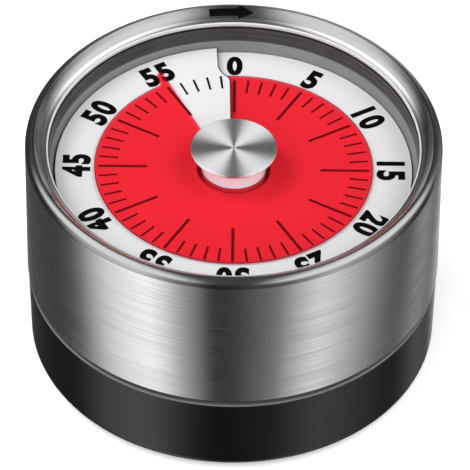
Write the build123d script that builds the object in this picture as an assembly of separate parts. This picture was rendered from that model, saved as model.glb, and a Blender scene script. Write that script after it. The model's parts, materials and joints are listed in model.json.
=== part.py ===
from build123d import *
import os
from math import acos, atan2, cos, degrees, hypot, pi, radians, sin

# A round mechanical 60 minute timer with a steel shell, a dial whose red sector shows the time left,
# a winding knob and a spring-driven movement that rings a bell. Millimetres, +Z up. The origin is in the
# middle of the face that it rests on, and the 0 mark of the dial is towards +Y. Minutes run clockwise
# as seen from above.

# ---- driving dimensions: casing ----
TOTAL_HEIGHT = 50.0
SHELL_RADIUS = 40.0
SHELL_BOTTOM = 18.7
SHELL_WALL = 0.8
RIM_ROUNDING = 1.7
RIM_DIP = 2.1  # how far the rolled rim drops towards its inner edge
RIM_SAG = 0.7  # the share of that drop that is reached half way across the rim
RIM_INNER_RADIUS = 35.6

FOOT_PROUD = 0.5  # how far the rubber foot stands out below the base
BASE_TOP = 17.5
BASE_TOP_RADIUS = 39.85
BASE_BOTTOM_RADIUS = 39.45
BASE_ROUNDING = 1.9
BASE_EDGE_CHAMFER = 0.25
BASE_WALL = 2.2
BASE_FLOOR_TOP = 2.8
SPIGOT_RADIUS = 38.9
SPIGOT_WALL = 2.0
SPIGOT_TOP = 22.0

FOOT_INNER_RADIUS = 24.0
FOOT_OUTER_RADIUS = 29.0
FOOT_HEIGHT = 1.4
FOOT_ROUNDING = 0.3
COVER_RADIUS = 21.0
COVER_THICKNESS = 0.9
MAGNET_RADIUS = 4.0
MAGNET_THICKNESS = 1.2
MAGNET_CIRCLE = 13.0
MAGNET_COUNT = 4

CASE_SCREW_CIRCLE = 34.4
CASE_SCREW_ANGLES = (90, 210, 330)
CASE_THREAD_RADIUS = 1.2
CASE_SCREW_TOP = 30.0
CASE_HEAD_RADIUS = 2.2
CASE_HEAD_HEIGHT = 1.1
CASE_HEAD_BOTTOM = 0.8
COLUMN_RADIUS = 2.7
COLUMN_SINK = 0.5  # how far a column runs down into the base's floor, so that the two are one
BELL_PAD_RADIUS = 4.0
BELL_PAD_HEIGHT = 0.6
COVER_SCREW_RADIUS = 1.0
COVER_SCREW_TOP = 3.0
COVER_HEAD_RADIUS = 2.2
COVER_HEAD_HEIGHT = 0.6
SLOT_WIDTH = 0.5
SLOT_DEPTH = 0.35

# ---- driving dimensions: dial ----
DIAL_RADIUS = 34.3
DIAL_HOLE_RADIUS = 7.1
DIAL_THICKNESS = 0.4
DIAL_TOP = 41.5  # upper face at the 0 mark, at the low side of the slit
DIAL_PITCH = 1.2  # rise of the dial over its one turn of 60 minutes
DIAL_OVERRUN = 2.0  # minutes of dial before the 0 mark, which carry the numeral 0
FULL_TURN_MINUTES = 60.0

# the slit in plan, by the 0 mark: a straight cut from the hub, a bend, and a straight cut to the rim
SLIT_HUB, SLIT_BEND_START = (-0.3, 0.0), (-0.8, 24.2)
SLIT_BEND_MIDDLE, SLIT_BEND_END, SLIT_RIM = (-2.0, 26.4), (-3.2, 29.6), (-3.6, 37.0)
LOW_END_X = -12.0  # how far the cuts that trim the dial's low and high ends reach sideways
HIGH_END_X = 1.0

DISC_RADIUS = 26.8
DISC_HOLE_RADIUS = 6.3
DISC_THICKNESS = 0.2
DISC_GAP = 0.3  # between the dial and the red disc, above it and below it
REST_MINUTES = 55.0
DISC_SPAN_MINUTES = 59.7
DISC_TRIM_MINUTES = 0.5  # extra sheet beyond the leading edge, which is cut back to its shape
EDGE_CROSSING_RADIUS = 18.8  # where the disc's leading edge crosses the line of the minute that it shows
EDGE_LEAN = 0.079  # how far that edge runs ahead of the line, for each millimetre further out
POINTER_RADIUS = 30.4
POINTER_ROOT_INSET = 2.0
POINTER_BACK_MINUTES = 2.0
LEADING_WASTE_Y = -4.0
# the pointer's back edge: the radius of each corner and how far that corner lies behind the minute's line
POINTER_SHOULDER = (29.8, 0.3)
POINTER_NOTCH = (28.3, 0.8)
POINTER_THROAT = (27.25, 0.95)
POINTER_FOOT = (26.7, 1.7)

SEAT_INNER_RADIUS = 33.2
SEAT_OUTER_RADIUS = 37.0
SEAT_CONE_BOTTOM_RADIUS = 34.4
SEAT_TOP_RADIUS = 35.3
SEAT_TOP = 43.6
SEAT_LEDGE_HEIGHT = 1.0
SEAT_RAMP_HEIGHT = 1.1
SEAT_RAMP_INSET = 0.2
SEAT_RAMP_START, SEAT_RAMP_END = -1.0, 58.9  # minutes
BEZEL_TOP_RADIUS = 35.5

CARRIER_RADIUS = 38.9
CARRIER_WALL = 2.0
CARRIER_DECK_BOTTOM = 37.9
CARRIER_DECK_TOP = 39.9
CARRIER_HOLE_RADIUS = 8.0

# ---- driving dimensions: knob ----
CAP_RADIUS = 8.25
CAP_TOP = 47.6
CAP_THICKNESS = 0.6
CAP_DISH = 0.12
CAP_EDGE = 0.15
NECK_TOP_RADIUS = 6.7
NECK_RADIUS = 6.2
NECK_TAPER_BOTTOM = 44.0
NECK_TAPER_SAG = 0.15
NECK_BOTTOM = 40.2
CLAMP_THICKNESS = 0.5
CLAMP_RADIUS = 6.1
INSERT_RADIUS = 2.6
INSERT_TOP = 44.4
SPIGOT_CAP_RADIUS = 3.0
SPIGOT_CAP_BOTTOM = 45.3

# ---- driving dimensions: movement ----
PLATE_RADIUS = 31.0
PLATE_THICKNESS = 1.2
BACK_PLATE_BOTTOM = 15.0
FRONT_PLATE_BOTTOM = 30.0
BACK_PLATE_TOP = BACK_PLATE_BOTTOM + PLATE_THICKNESS
FRONT_PLATE_TOP = FRONT_PLATE_BOTTOM + PLATE_THICKNESS
PILLAR_CIRCLE = 28.5
PILLAR_ANGLES = (65, 140, 218, 310)
PILLAR_RADIUS = 1.6
PILLAR_SCREW_RADIUS = 0.8
PILLAR_SCREW_HEAD = 0.9
PILLAR_THREAD_DEPTH = 3.0
MOUNT_SCREW_CIRCLE = 27.0
MOUNT_SCREW_ANGLES = (160, 250, 345)
MOUNT_BOSS_RADIUS = 2.6
MOUNT_THREAD_RADIUS = 1.0
MOUNT_SCREW_TOP = 36.0
MOUNT_HEAD_RADIUS = 2.0
MOUNT_HEAD_HEIGHT = 1.0

ARBOR_RADIUS = 1.5
ARBOR_BOTTOM = 13.9
ARBOR_CORE_RADIUS = 3.0
CORE_CLEARANCE = 0.2
END_SHAKE = 0.15  # free length of an arbor between its shoulders
RUNNING_FIT = 0.03  # radial clearance of a shaft in its bush
BUSH_WALL = 1.5
BUSH_PROUD = 0.4
CLIP_RADIUS = 3.2
CLIP_THICKNESS = 0.6
CLIP_OPENING = 1.6
HUB_RADIUS = 2.7
TOP_HUB_RADIUS = 2.3
STAFF_RADIUS = 0.8
STAFF_SHAKE = 0.1
PIVOT_RADIUS = 0.6
TRAIN_BUSH_RADIUS = 1.4

SPRING_BOTTOM = 17.0
SPRING_TOP = 21.4
SPRING_OUTER_RADIUS = 12.6
SPRING_STRIP = 0.35
SPRING_TURNS = 6
SPRING_POST_RADIUS = 0.9
SPRING_POST_OFFSET = 1.6
SPRING_POST_PROUD = 0.4
SPRING_TAIL = 0.5
SPRING_CORE_CLEARANCE = 0.3

# wheels: teeth, module, bottom and top of each rim, in the order in which the train runs
GREAT_TEETH, GREAT_MODULE, GREAT_BOTTOM, GREAT_TOP = 64, 0.5, 24.0, 25.2
SECOND_PINION_TEETH = 8
SECOND_TEETH, SECOND_MODULE, SECOND_BOTTOM, SECOND_TOP = 60, 0.4, 26.2, 27.0
THIRD_PINION_TEETH = 8
THIRD_TEETH, THIRD_MODULE, THIRD_BOTTOM, THIRD_TOP = 60, 0.35, 28.1, 28.9
ESCAPE_PINION_TEETH = 6
ESCAPE_TEETH, ESCAPE_TIP_RADIUS, ESCAPE_ROOT_RADIUS = 15, 5.0, 3.7
ESCAPE_BOTTOM, ESCAPE_TOP = 25.9, 26.6
PINION_OVERHANG = 0.3
# the hub radius, the rim's inner radius and the number of spokes of each wheel
GREAT_SPOKES, SECOND_SPOKES, THIRD_SPOKES = (6.0, 13.6, 6), (2.6, 10.4, 5), (2.4, 9.0, 4)

# tooth heights are in modules, and shares are of one tooth's pitch
WHEEL_ADDENDUM, WHEEL_DEDENDUM = 0.85, 1.15
WHEEL_ROOT_SHARE, WHEEL_TIP_SHARE = 0.44, 0.14
PINION_ADDENDUM, PINION_DEDENDUM = 0.75, 1.2
PINION_ROOT_SHARE, PINION_TIP_SHARE = 0.40, 0.16
ESCAPE_ROOT_SHARE, ESCAPE_TIP_SHARE = 0.30, 0.06

SECOND_DIRECTION = 0
THIRD_DIRECTION = 110
ESCAPE_DIRECTION = 140
BALANCE_DIRECTION = 175
BALANCE_DISTANCE = 9.0

RATCHET_TEETH, RATCHET_RADIUS, RATCHET_DEPTH = 24, 7.0, 0.8
RATCHET_BOTTOM, RATCHET_TOP = 22.4, 23.6
CLICK_CIRCLE = 11.0
CLICK_DIRECTION = 200
CLICK_POST_RADIUS = 0.7
CLICK_HUB_RADIUS = 1.5
CLICK_BOTTOM, CLICK_TOP = 22.6, 23.4
CLICK_NOSE_ANGLE = 38.0
CLICK_CLEARANCE = 0.12
CLICK_ARM_RADIUS, CLICK_NOSE_RADIUS = 0.9, 0.35
CLICK_COLLAR_RADIUS, CLICK_COLLAR_HEIGHT = 1.2, 0.4
CLICK_STUD_CIRCLE, CLICK_STUD_LAG, CLICK_STUD_RADIUS = 13.6, 60.0, 0.6
CLICK_WIRE_CIRCLE, CLICK_WIRE_LAG, CLICK_WIRE_WIDTH, CLICK_WIRE_INSET = 12.0, 16.0, 0.3, 0.2

CAM_RADIUS = 6.0
CAM_NOTCH_DEPTH = 1.2
CAM_NOTCH_WIDTH = 2.4
CAM_BOTTOM, CAM_TOP = 27.9, 29.1
LEVER_POST = (-17.0, -8.0)
LEVER_POST_RADIUS = 0.9
LEVER_HUB_RADIUS = 1.9
LEVER_ROLLER_RADIUS = 0.8
LEVER_CLEARANCE = 0.1
LEVER_BOTTOM, LEVER_TOP = 28.0, 29.0
LEVER_TAIL_LENGTH, LEVER_TAIL_WIDTH = 6.0, 1.8
LEVER_SHAKE = 0.1
LEVER_COLLAR_RADIUS, LEVER_COLLAR_HEIGHT = 1.5, 0.5
LEVER_SPRING_FOOT = (-24.5, -3.5)
LEVER_SPRING_REACH, LEVER_SPRING_LEAD = 7.0, 14.0
LEAF_WIDTH, LEAF_INSET, LEAF_FOOT_RADIUS = 0.3, 0.1, 0.7

BALANCE_RADIUS = 7.4
BALANCE_RIM = 1.1
BALANCE_HUB_RADIUS = 2.0
BALANCE_SPOKE_WIDTH = 1.2
BALANCE_BOTTOM, BALANCE_TOP = 28.3, 29.3
FORK_BOTTOM, FORK_TOP = 27.0, 27.8
FORK_HUB_RADIUS = 1.8
FORK_ARM_WIDTH = 0.9
PALLET_PIN_RADIUS = 0.2
PALLET_HALF_ANGLE = 30.0
PALLET_CLEARANCE = 0.05
PALLET_PIN_PROUD = 0.1
HAIRSPRING_BOTTOM, HAIRSPRING_TOP = 19.4, 20.1
HAIRSPRING_STRIP = 0.15
HAIRSPRING_TURNS = 5
COLLET_RADIUS = 1.2
COLLET_PROUD = 0.2
HAIRSPRING_CLEARANCE = 0.25
HAIRSPRING_TAIL = 0.6
STUD_OFFSET, STUD_RADIUS, STUD_PROUD = 1.6, 0.8, 0.5
HAIRSPRING_OUTER_RADIUS = 4.6

# ---- driving dimensions: alarm ----
BELL_RADIUS = 24.0
BELL_WALL = 1.0
BELL_BOTTOM = 4.4
BELL_TOP = 12.0
BELL_SHOULDER = 4.0
BELL_POST_RADIUS = 3.0
BELL_HOLE_RADIUS = 1.2
BELL_THREAD_DEPTH = 3.0
BELL_SCREW_TOP = 13.1
BELL_SCREW_HEAD_RADIUS = 2.6
BELL_SLOT_WIDTH, BELL_SLOT_DEPTH = 0.6, 0.4
HAMMER_POST = (24.0, -14.0)
HAMMER_POST_RADIUS = 1.0
HAMMER_HEAD = (13.8, -24.0)
HAMMER_HEAD_RADIUS = 2.2
HAMMER_BOTTOM, HAMMER_TOP = 12.9, 13.9
STAR_TEETH, STAR_RADIUS, STAR_DEPTH = 6, 3.2, 1.3
HAMMER_TAIL_CLEARANCE = 0.25
HAMMER_HUB_RADIUS, HAMMER_ARM_WIDTH, HAMMER_TAIL_WIDTH = 2.2, 1.6, 1.0
HAMMER_HEAD_LIFT = 1.0  # height of the head's underside over the bell's rim
HAMMER_COLLAR_RADIUS, HAMMER_COLLAR_HEIGHT = 1.8, 0.6
HAMMER_SPRING_FOOT = (10.0, -16.0)
HAMMER_SPRING_REACH, HAMMER_SPRING_LAG = 8.0, 14.0
HAMMER_WIRE = 0.4
HAMMER_SPRING_FOOT_RADIUS, HAMMER_SPRING_FOOT_LIFT = 0.7, 0.2


# ---- helpers: places ----
def polar(radius, angle, centre=(0.0, 0.0)):
    """The point at a radius and an angle in degrees from a centre."""
    return (centre[0] + radius * cos(radians(angle)), centre[1] + radius * sin(radians(angle)))


def minute_angle(minute):
    """The angle of a minute mark, which runs clockwise from +Y."""
    return 90.0 - 360.0 * minute / FULL_TURN_MINUTES


def direction_to(start, end):
    """The angle in degrees from one point to another."""
    return degrees(atan2(end[1] - start[1], end[0] - start[0]))


def distance_between(start, end):
    return hypot(end[0] - start[0], end[1] - start[1])


def mesh_distance(wheel_teeth, pinion_teeth, module):
    """The distance between the centres of a wheel and its pinion."""
    return module * (wheel_teeth + pinion_teeth) / 2


ARBOR_AXIS = (0.0, 0.0)
SECOND_AXIS = polar(mesh_distance(GREAT_TEETH, SECOND_PINION_TEETH, GREAT_MODULE), SECOND_DIRECTION)
THIRD_AXIS = polar(
    mesh_distance(SECOND_TEETH, THIRD_PINION_TEETH, SECOND_MODULE), THIRD_DIRECTION, SECOND_AXIS
)
ESCAPE_AXIS = polar(
    mesh_distance(THIRD_TEETH, ESCAPE_PINION_TEETH, THIRD_MODULE), ESCAPE_DIRECTION, THIRD_AXIS
)
BALANCE_AXIS = polar(BALANCE_DISTANCE, BALANCE_DIRECTION, ESCAPE_AXIS)
TRAIN_AXES = (SECOND_AXIS, THIRD_AXIS, ESCAPE_AXIS, BALANCE_AXIS)
CLICK_PIVOT = polar(CLICK_CIRCLE, CLICK_DIRECTION)
SPRING_POST = (0.0, -(SPRING_OUTER_RADIUS + SPRING_POST_OFFSET))


# ---- helpers: shapes ----
def rod(radius, bottom, top, centre=(0.0, 0.0)):
    """A vertical cylinder."""
    height = top - bottom
    return Pos(centre[0], centre[1], bottom + height / 2) * Cylinder(radius, height)


def tube(outer, inner, bottom, top, centre=(0.0, 0.0)):
    """A vertical cylinder with a bore through it."""
    return rod(outer, bottom, top, centre) - rod(inner, bottom - 1, top + 1, centre)


def prism(face, bottom, top):
    """A flat outline in the XY plane, made solid between two heights."""
    return Pos(0, 0, bottom) * extrude(face, top - bottom)


def polygon(points):
    return make_face(Polyline(*points, close=True))


def turned(*edges):
    """A solid of revolution about Z from a closed outline of (radius, height)."""
    return revolve(Plane.XZ * make_face(Curve() + list(edges)), Axis.Z)


def turned_polygon(*points):
    return revolve(Plane.XZ * polygon(points), Axis.Z)


def at_points(make, radius, angles):
    """The same piece at several angles of a circle, as separate solids."""
    return Compound(children=[make(polar(radius, angle)) for angle in angles])


def bar(start, end, width):
    """The outline of a straight arm with round ends between two points."""
    length = distance_between(start, end)
    outline = Pos(length / 2, 0) * SlotCenterToCenter(length, width)
    return Pos(start[0], start[1]) * Rot(0, 0, direction_to(start, end)) * outline


def helicoid(inner, outer, bottom, thickness, start, end):
    """A spiral sheet that rises clockwise by the dial's pitch each turn, between two minute marks."""
    turns = (end - start) / FULL_TURN_MINUTES
    middle = (inner + outer) / 2
    path = Edge.make_helix(DIAL_PITCH, DIAL_PITCH * turns, middle, lefthand=True)
    section = Plane.XZ * Pos(middle, thickness / 2) * Rectangle(outer - inner, thickness)
    sheet = sweep(section, path=path, is_frenet=True)
    height = bottom + DIAL_PITCH * start / FULL_TURN_MINUTES
    return Pos(0, 0, height) * Rot(0, 0, minute_angle(start)) * sheet


def toothed_face(teeth, root, tip, root_share, tip_share, phase):
    """An outline of straight-sided teeth. The shares say how much of the pitch a tooth takes."""
    pitch = 360.0 / teeth
    points = []
    for tooth in range(teeth):
        middle = phase + tooth * pitch
        points.append(polar(root, middle - root_share * pitch / 2))
        points.append(polar(tip, middle - tip_share * pitch / 2))
        points.append(polar(tip, middle + tip_share * pitch / 2))
        points.append(polar(root, middle + root_share * pitch / 2))
    return polygon(points)


def wheel_face(teeth, module, phase):
    radius = module * teeth / 2
    root = radius - WHEEL_DEDENDUM * module
    tip = radius + WHEEL_ADDENDUM * module
    return toothed_face(teeth, root, tip, WHEEL_ROOT_SHARE, WHEEL_TIP_SHARE, phase)


def pinion_face(teeth, module, phase):
    radius = module * teeth / 2
    root = radius - PINION_DEDENDUM * module
    tip = radius + PINION_ADDENDUM * module
    return toothed_face(teeth, root, tip, PINION_ROOT_SHARE, PINION_TIP_SHARE, phase)


def spoked(face, hub_radius, rim_radius, spokes):
    """A wheel's outline with round-cornered openings between its spokes."""
    middle = (hub_radius + rim_radius) / 2
    opening = (rim_radius - hub_radius) / 2
    for spoke in range(spokes):
        face -= Pos(*polar(middle, (spoke + 0.5) * 360 / spokes)) * Circle(opening)
    return face


def placed_wheel(face, bore, bottom, top, centre):
    """A flat wheel around its centre, with the hole for its arbor."""
    return Pos(centre[0], centre[1], 0) * prism(face - Circle(bore), bottom, top)


def spiral(inner, outer, strip, turns, end_angle, tail):
    """The outline of a flat spiral strip, made of half turns whose centres alternate.

    Its outer end is at end_angle, and a straight tail runs outwards from there.
    """
    step = (outer - inner - strip) / (2 * turns)
    face = bar((outer - strip / 2, 0), (outer + tail, 0), 2 * strip)
    for half in range(2 * turns):
        radius = inner + strip / 2 + step * (half + 0.5)
        side = 1 if half % 2 == 0 else -1
        ring = Circle(radius + strip / 2) - Circle(radius - strip / 2)
        window = Pos(0, side * outer) * Rectangle(4 * outer, 2 * outer)
        face += Pos(-side * step / 2, 0) * (ring & window)
    return Rot(0, 0, end_angle) * face


# ---- casing ----
def steel_shell():
    """The drawn steel tube with its top edge rolled inwards over the bezel."""
    wall_inside = SHELL_RADIUS - SHELL_WALL
    crest = SHELL_RADIUS - RIM_ROUNDING
    shoulder = TOTAL_HEIGHT - RIM_ROUNDING
    corner = polar(RIM_ROUNDING, 45, (crest, shoulder))
    lip_top = TOTAL_HEIGHT - RIM_DIP
    lip_bottom = lip_top - SHELL_WALL
    dip_middle = ((crest + RIM_INNER_RADIUS) / 2, TOTAL_HEIGHT - RIM_SAG * RIM_DIP)
    inside_rounding = RIM_ROUNDING - SHELL_WALL
    inside_corner = polar(inside_rounding, 45, (crest, shoulder))
    return turned(
        Line((SHELL_RADIUS, SHELL_BOTTOM), (SHELL_RADIUS, shoulder)),
        ThreePointArc((SHELL_RADIUS, shoulder), corner, (crest, TOTAL_HEIGHT)),
        ThreePointArc((crest, TOTAL_HEIGHT), dip_middle, (RIM_INNER_RADIUS, lip_top)),
        Line((RIM_INNER_RADIUS, lip_top), (RIM_INNER_RADIUS, lip_bottom)),
        Line((RIM_INNER_RADIUS, lip_bottom), (crest, shoulder + inside_rounding)),
        ThreePointArc((crest, shoulder + inside_rounding), inside_corner, (wall_inside, shoulder)),
        Line((wall_inside, shoulder), (wall_inside, SHELL_BOTTOM)),
        Line((wall_inside, SHELL_BOTTOM), (SHELL_RADIUS, SHELL_BOTTOM)),
    )


def inner_bezel():
    """The dark ring that lines the wall above the dial, under the rolled rim."""
    top = TOTAL_HEIGHT - RIM_DIP - SHELL_WALL
    return turned_polygon(
        (SEAT_TOP_RADIUS, SEAT_TOP),
        (BEZEL_TOP_RADIUS, top),
        (SHELL_RADIUS - RIM_ROUNDING, top),
        (CARRIER_RADIUS, top - SHELL_WALL),
        (CARRIER_RADIUS, CARRIER_DECK_TOP),
        (SEAT_OUTER_RADIUS, CARRIER_DECK_TOP),
        (SEAT_OUTER_RADIUS, SEAT_TOP),
    )


def dial_seat_ring():
    """The pale sloping ring around the dial, with the spiral ledge that holds the dial's edge."""
    ledge_top = CARRIER_DECK_TOP + SEAT_LEDGE_HEIGHT
    ring = turned_polygon(
        (SEAT_INNER_RADIUS, CARRIER_DECK_TOP),
        (SEAT_OUTER_RADIUS, CARRIER_DECK_TOP),
        (SEAT_OUTER_RADIUS, SEAT_TOP),
        (SEAT_TOP_RADIUS, SEAT_TOP),
        (SEAT_CONE_BOTTOM_RADIUS, ledge_top),
        (SEAT_INNER_RADIUS, ledge_top),
    )
    ramp = helicoid(
        SEAT_INNER_RADIUS + SEAT_RAMP_INSET,
        SEAT_CONE_BOTTOM_RADIUS - SEAT_RAMP_INSET,
        DIAL_TOP - DIAL_THICKNESS - SEAT_RAMP_HEIGHT,
        SEAT_RAMP_HEIGHT,
        SEAT_RAMP_START,
        SEAT_RAMP_END,
    )
    return ring + ramp


def slit_side(far_x):
    """The plan area between the line of the dial's slit and a line at far_x."""
    bend = Spline(SLIT_BEND_START, SLIT_BEND_MIDDLE, SLIT_BEND_END, tangents=((0, 1), (0, 1)))
    slit = Line(SLIT_HUB, SLIT_BEND_START) + bend + Line(SLIT_BEND_END, SLIT_RIM)
    close = Polyline(SLIT_RIM, (far_x, SLIT_RIM[1]), (far_x, 0), SLIT_HUB)
    return make_face(slit + close)


def dial():
    """The one-turn spiral dial. Its high end overlaps its low end at the slit by the 0 mark."""
    sheet = helicoid(
        DIAL_HOLE_RADIUS,
        DIAL_RADIUS,
        DIAL_TOP - DIAL_THICKNESS,
        DIAL_THICKNESS,
        -DIAL_OVERRUN,
        FULL_TURN_MINUTES,
    )
    between_ends = DIAL_TOP + (DIAL_PITCH - DIAL_THICKNESS) / 2
    low_waste = prism(slit_side(LOW_END_X), DIAL_TOP - DIAL_PITCH, between_ends)
    high_waste = prism(slit_side(HIGH_END_X), between_ends, DIAL_TOP + 2 * DIAL_PITCH)
    return sheet - low_waste - high_waste


def edge_side(radius):
    """How far the disc's leading edge lies behind its minute's line at a radius."""
    return EDGE_LEAN * (EDGE_CROSSING_RADIUS - radius)


def red_disc():
    """The red spiral disc that passes through the slit, with the pointer at its leading edge."""
    bottom = DIAL_TOP + DISC_GAP
    end = REST_MINUTES + DISC_TRIM_MINUTES
    start = REST_MINUTES - DISC_SPAN_MINUTES
    root = DISC_RADIUS - POINTER_ROOT_INSET
    sheet = helicoid(DISC_HOLE_RADIUS, DISC_RADIUS, bottom, DISC_THICKNESS, start, end)
    pointer_start = REST_MINUTES - POINTER_BACK_MINUTES
    pointer_sheet = helicoid(root, POINTER_RADIUS, bottom, DISC_THICKNESS, pointer_start, end)
    # plan outlines drawn along +X, where the line of the minute is the axis and clockwise is -Y
    hub_end = (0, edge_side(0))
    root_end = (root, edge_side(root))
    tip = (POINTER_RADIUS, edge_side(POINTER_RADIUS))
    waste = polygon([hub_end, tip, (POINTER_RADIUS, LEADING_WASTE_Y), (0, LEADING_WASTE_Y)])
    pointer = make_face(
        Polyline(root_end, tip, POINTER_SHOULDER, POINTER_NOTCH)
        + ThreePointArc(POINTER_NOTCH, POINTER_THROAT, POINTER_FOOT)
        + Polyline(POINTER_FOOT, (root, POINTER_FOOT[1]), root_end)
    )
    above_tail = DIAL_TOP + DIAL_PITCH - DISC_GAP
    turn = Rot(0, 0, minute_angle(REST_MINUTES))
    sheet -= turn * prism(waste, above_tail, TOTAL_HEIGHT)
    return sheet + (pointer_sheet & (turn * prism(pointer, CARRIER_DECK_TOP, TOTAL_HEIGHT)))


def dial_carrier():
    """The moulded carrier inside the shell: it holds the dial, hangs the movement and takes the screws."""
    wall = tube(CARRIER_RADIUS, CARRIER_RADIUS - CARRIER_WALL, SPIGOT_TOP, CARRIER_DECK_BOTTOM)
    deck = tube(CARRIER_RADIUS, CARRIER_HOLE_RADIUS, CARRIER_DECK_BOTTOM, CARRIER_DECK_TOP)
    body = wall + deck
    for angle in CASE_SCREW_ANGLES:
        centre = polar(CASE_SCREW_CIRCLE, angle)
        body += rod(COLUMN_RADIUS, SPIGOT_TOP, CARRIER_DECK_BOTTOM, centre)
    for angle in MOUNT_SCREW_ANGLES:
        centre = polar(MOUNT_SCREW_CIRCLE, angle)
        body += rod(MOUNT_BOSS_RADIUS, FRONT_PLATE_TOP, CARRIER_DECK_BOTTOM, centre)
    for angle in CASE_SCREW_ANGLES:
        centre = polar(CASE_SCREW_CIRCLE, angle)
        body -= rod(CASE_THREAD_RADIUS, SPIGOT_TOP - 1, CASE_SCREW_TOP, centre)
    for angle in MOUNT_SCREW_ANGLES:
        centre = polar(MOUNT_SCREW_CIRCLE, angle)
        body -= rod(MOUNT_THREAD_RADIUS, FRONT_PLATE_TOP - 1, MOUNT_SCREW_TOP, centre)
    return body


def base_cup():
    """The moulded base with its spigot, screw columns and the pockets in its underside."""
    inner_bottom = BASE_BOTTOM_RADIUS - BASE_WALL
    inner_top = SPIGOT_RADIUS - SPIGOT_WALL
    cup = turned_polygon(
        (0, FOOT_PROUD),
        (BASE_BOTTOM_RADIUS, FOOT_PROUD),
        (BASE_TOP_RADIUS, BASE_TOP),
        (SPIGOT_RADIUS, BASE_TOP),
        (SPIGOT_RADIUS, SPIGOT_TOP),
        (inner_top, SPIGOT_TOP),
        (inner_top, BASE_TOP),
        (inner_bottom, BASE_FLOOR_TOP),
        (0, BASE_FLOOR_TOP),
    )
    cup = fillet(outer_edges(cup, FOOT_PROUD, BASE_BOTTOM_RADIUS), BASE_ROUNDING)
    cup = chamfer(outer_edges(cup, BASE_TOP, BASE_TOP_RADIUS), BASE_EDGE_CHAMFER)
    for angle in CASE_SCREW_ANGLES:
        centre = polar(CASE_SCREW_CIRCLE, angle)
        cup += rod(COLUMN_RADIUS, BASE_FLOOR_TOP - COLUMN_SINK, SPIGOT_TOP, centre)
    cup += rod(BELL_PAD_RADIUS, BASE_FLOOR_TOP - COLUMN_SINK, BASE_FLOOR_TOP + BELL_PAD_HEIGHT)
    for angle in CASE_SCREW_ANGLES:
        centre = polar(CASE_SCREW_CIRCLE, angle)
        cup -= rod(CASE_THREAD_RADIUS, 0, SPIGOT_TOP + 1, centre)
        cup -= rod(CASE_HEAD_RADIUS, 0, CASE_HEAD_BOTTOM + CASE_HEAD_HEIGHT, centre)
    cup -= tube(FOOT_OUTER_RADIUS, FOOT_INNER_RADIUS, 0, FOOT_HEIGHT)
    cup -= rod(COVER_RADIUS, 0, FOOT_PROUD + COVER_THICKNESS)
    for centre in magnet_centres():
        cup -= rod(MAGNET_RADIUS, 0, magnet_bottom() + MAGNET_THICKNESS, centre)
    cup -= rod(COVER_SCREW_RADIUS, 0, COVER_SCREW_TOP)
    return cup


def outer_edges(solid, height, radius):
    """The round edges of a turned solid at one height and radius."""
    return [
        edge
        for edge in solid.edges().filter_by(GeomType.CIRCLE)
        if abs(edge.center().Z - height) < 0.01 and abs(edge.radius - radius) < 0.01
    ]


def magnet_centres():
    return [polar(MAGNET_CIRCLE, 45 + 360 * k / MAGNET_COUNT) for k in range(MAGNET_COUNT)]


def magnet_bottom():
    return FOOT_PROUD + COVER_THICKNESS


def foot_ring():
    """The rubber ring that the timer stands on."""
    ring = tube(FOOT_OUTER_RADIUS, FOOT_INNER_RADIUS, 0, FOOT_HEIGHT)
    bottom_edges = outer_edges(ring, 0, FOOT_OUTER_RADIUS) + outer_edges(ring, 0, FOOT_INNER_RADIUS)
    return fillet(bottom_edges, FOOT_ROUNDING)


def magnet_cover():
    plate = rod(COVER_RADIUS, FOOT_PROUD, FOOT_PROUD + COVER_THICKNESS)
    plate -= rod(COVER_SCREW_RADIUS, 0, COVER_SCREW_TOP)
    return plate - rod(COVER_HEAD_RADIUS, 0, FOOT_PROUD + COVER_HEAD_HEIGHT)


def holding_magnets():
    bottom = magnet_bottom()
    pieces = [rod(MAGNET_RADIUS, bottom, bottom + MAGNET_THICKNESS, c) for c in magnet_centres()]
    return Compound(children=pieces)


def screw(centre, head_radius, head_bottom, head_height, shank_radius, tip):
    """A cheese-headed screw that points up, with a slot across its head."""
    head = rod(head_radius, head_bottom, head_bottom + head_height, centre)
    slot = Pos(centre[0], centre[1], head_bottom) * Box(3 * head_radius, SLOT_WIDTH, 2 * SLOT_DEPTH)
    return head - slot + rod(shank_radius, head_bottom + head_height / 2, tip, centre)


def cover_screw():
    return screw(
        ARBOR_AXIS, COVER_HEAD_RADIUS, FOOT_PROUD, COVER_HEAD_HEIGHT, COVER_SCREW_RADIUS, COVER_SCREW_TOP
    )


def case_screws():
    def make(centre):
        return screw(
            centre, CASE_HEAD_RADIUS, CASE_HEAD_BOTTOM, CASE_HEAD_HEIGHT, CASE_THREAD_RADIUS, CASE_SCREW_TOP
        )

    return at_points(make, CASE_SCREW_CIRCLE, CASE_SCREW_ANGLES)


# ---- movement frame ----
def movement_plate(bottom, holes):
    """A round plate with a hole of its own radius at each listed centre."""
    plate = rod(PLATE_RADIUS, bottom, bottom + PLATE_THICKNESS)
    for centre, radius in holes:
        plate -= rod(radius, bottom - 1, bottom + PLATE_THICKNESS + 1, centre)
    return plate


def frame_holes():
    """The holes that both plates share: the main bush, the train's bushes and the pillar screws."""
    holes = [(ARBOR_AXIS, ARBOR_RADIUS + BUSH_WALL)]
    holes += [(centre, TRAIN_BUSH_RADIUS) for centre in TRAIN_AXES]
    holes += [(polar(PILLAR_CIRCLE, angle), PILLAR_SCREW_RADIUS) for angle in PILLAR_ANGLES]
    return holes


def back_plate():
    holes = frame_holes() + [(HAMMER_POST, HAMMER_POST_RADIUS)]
    return movement_plate(BACK_PLATE_BOTTOM, holes)


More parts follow.
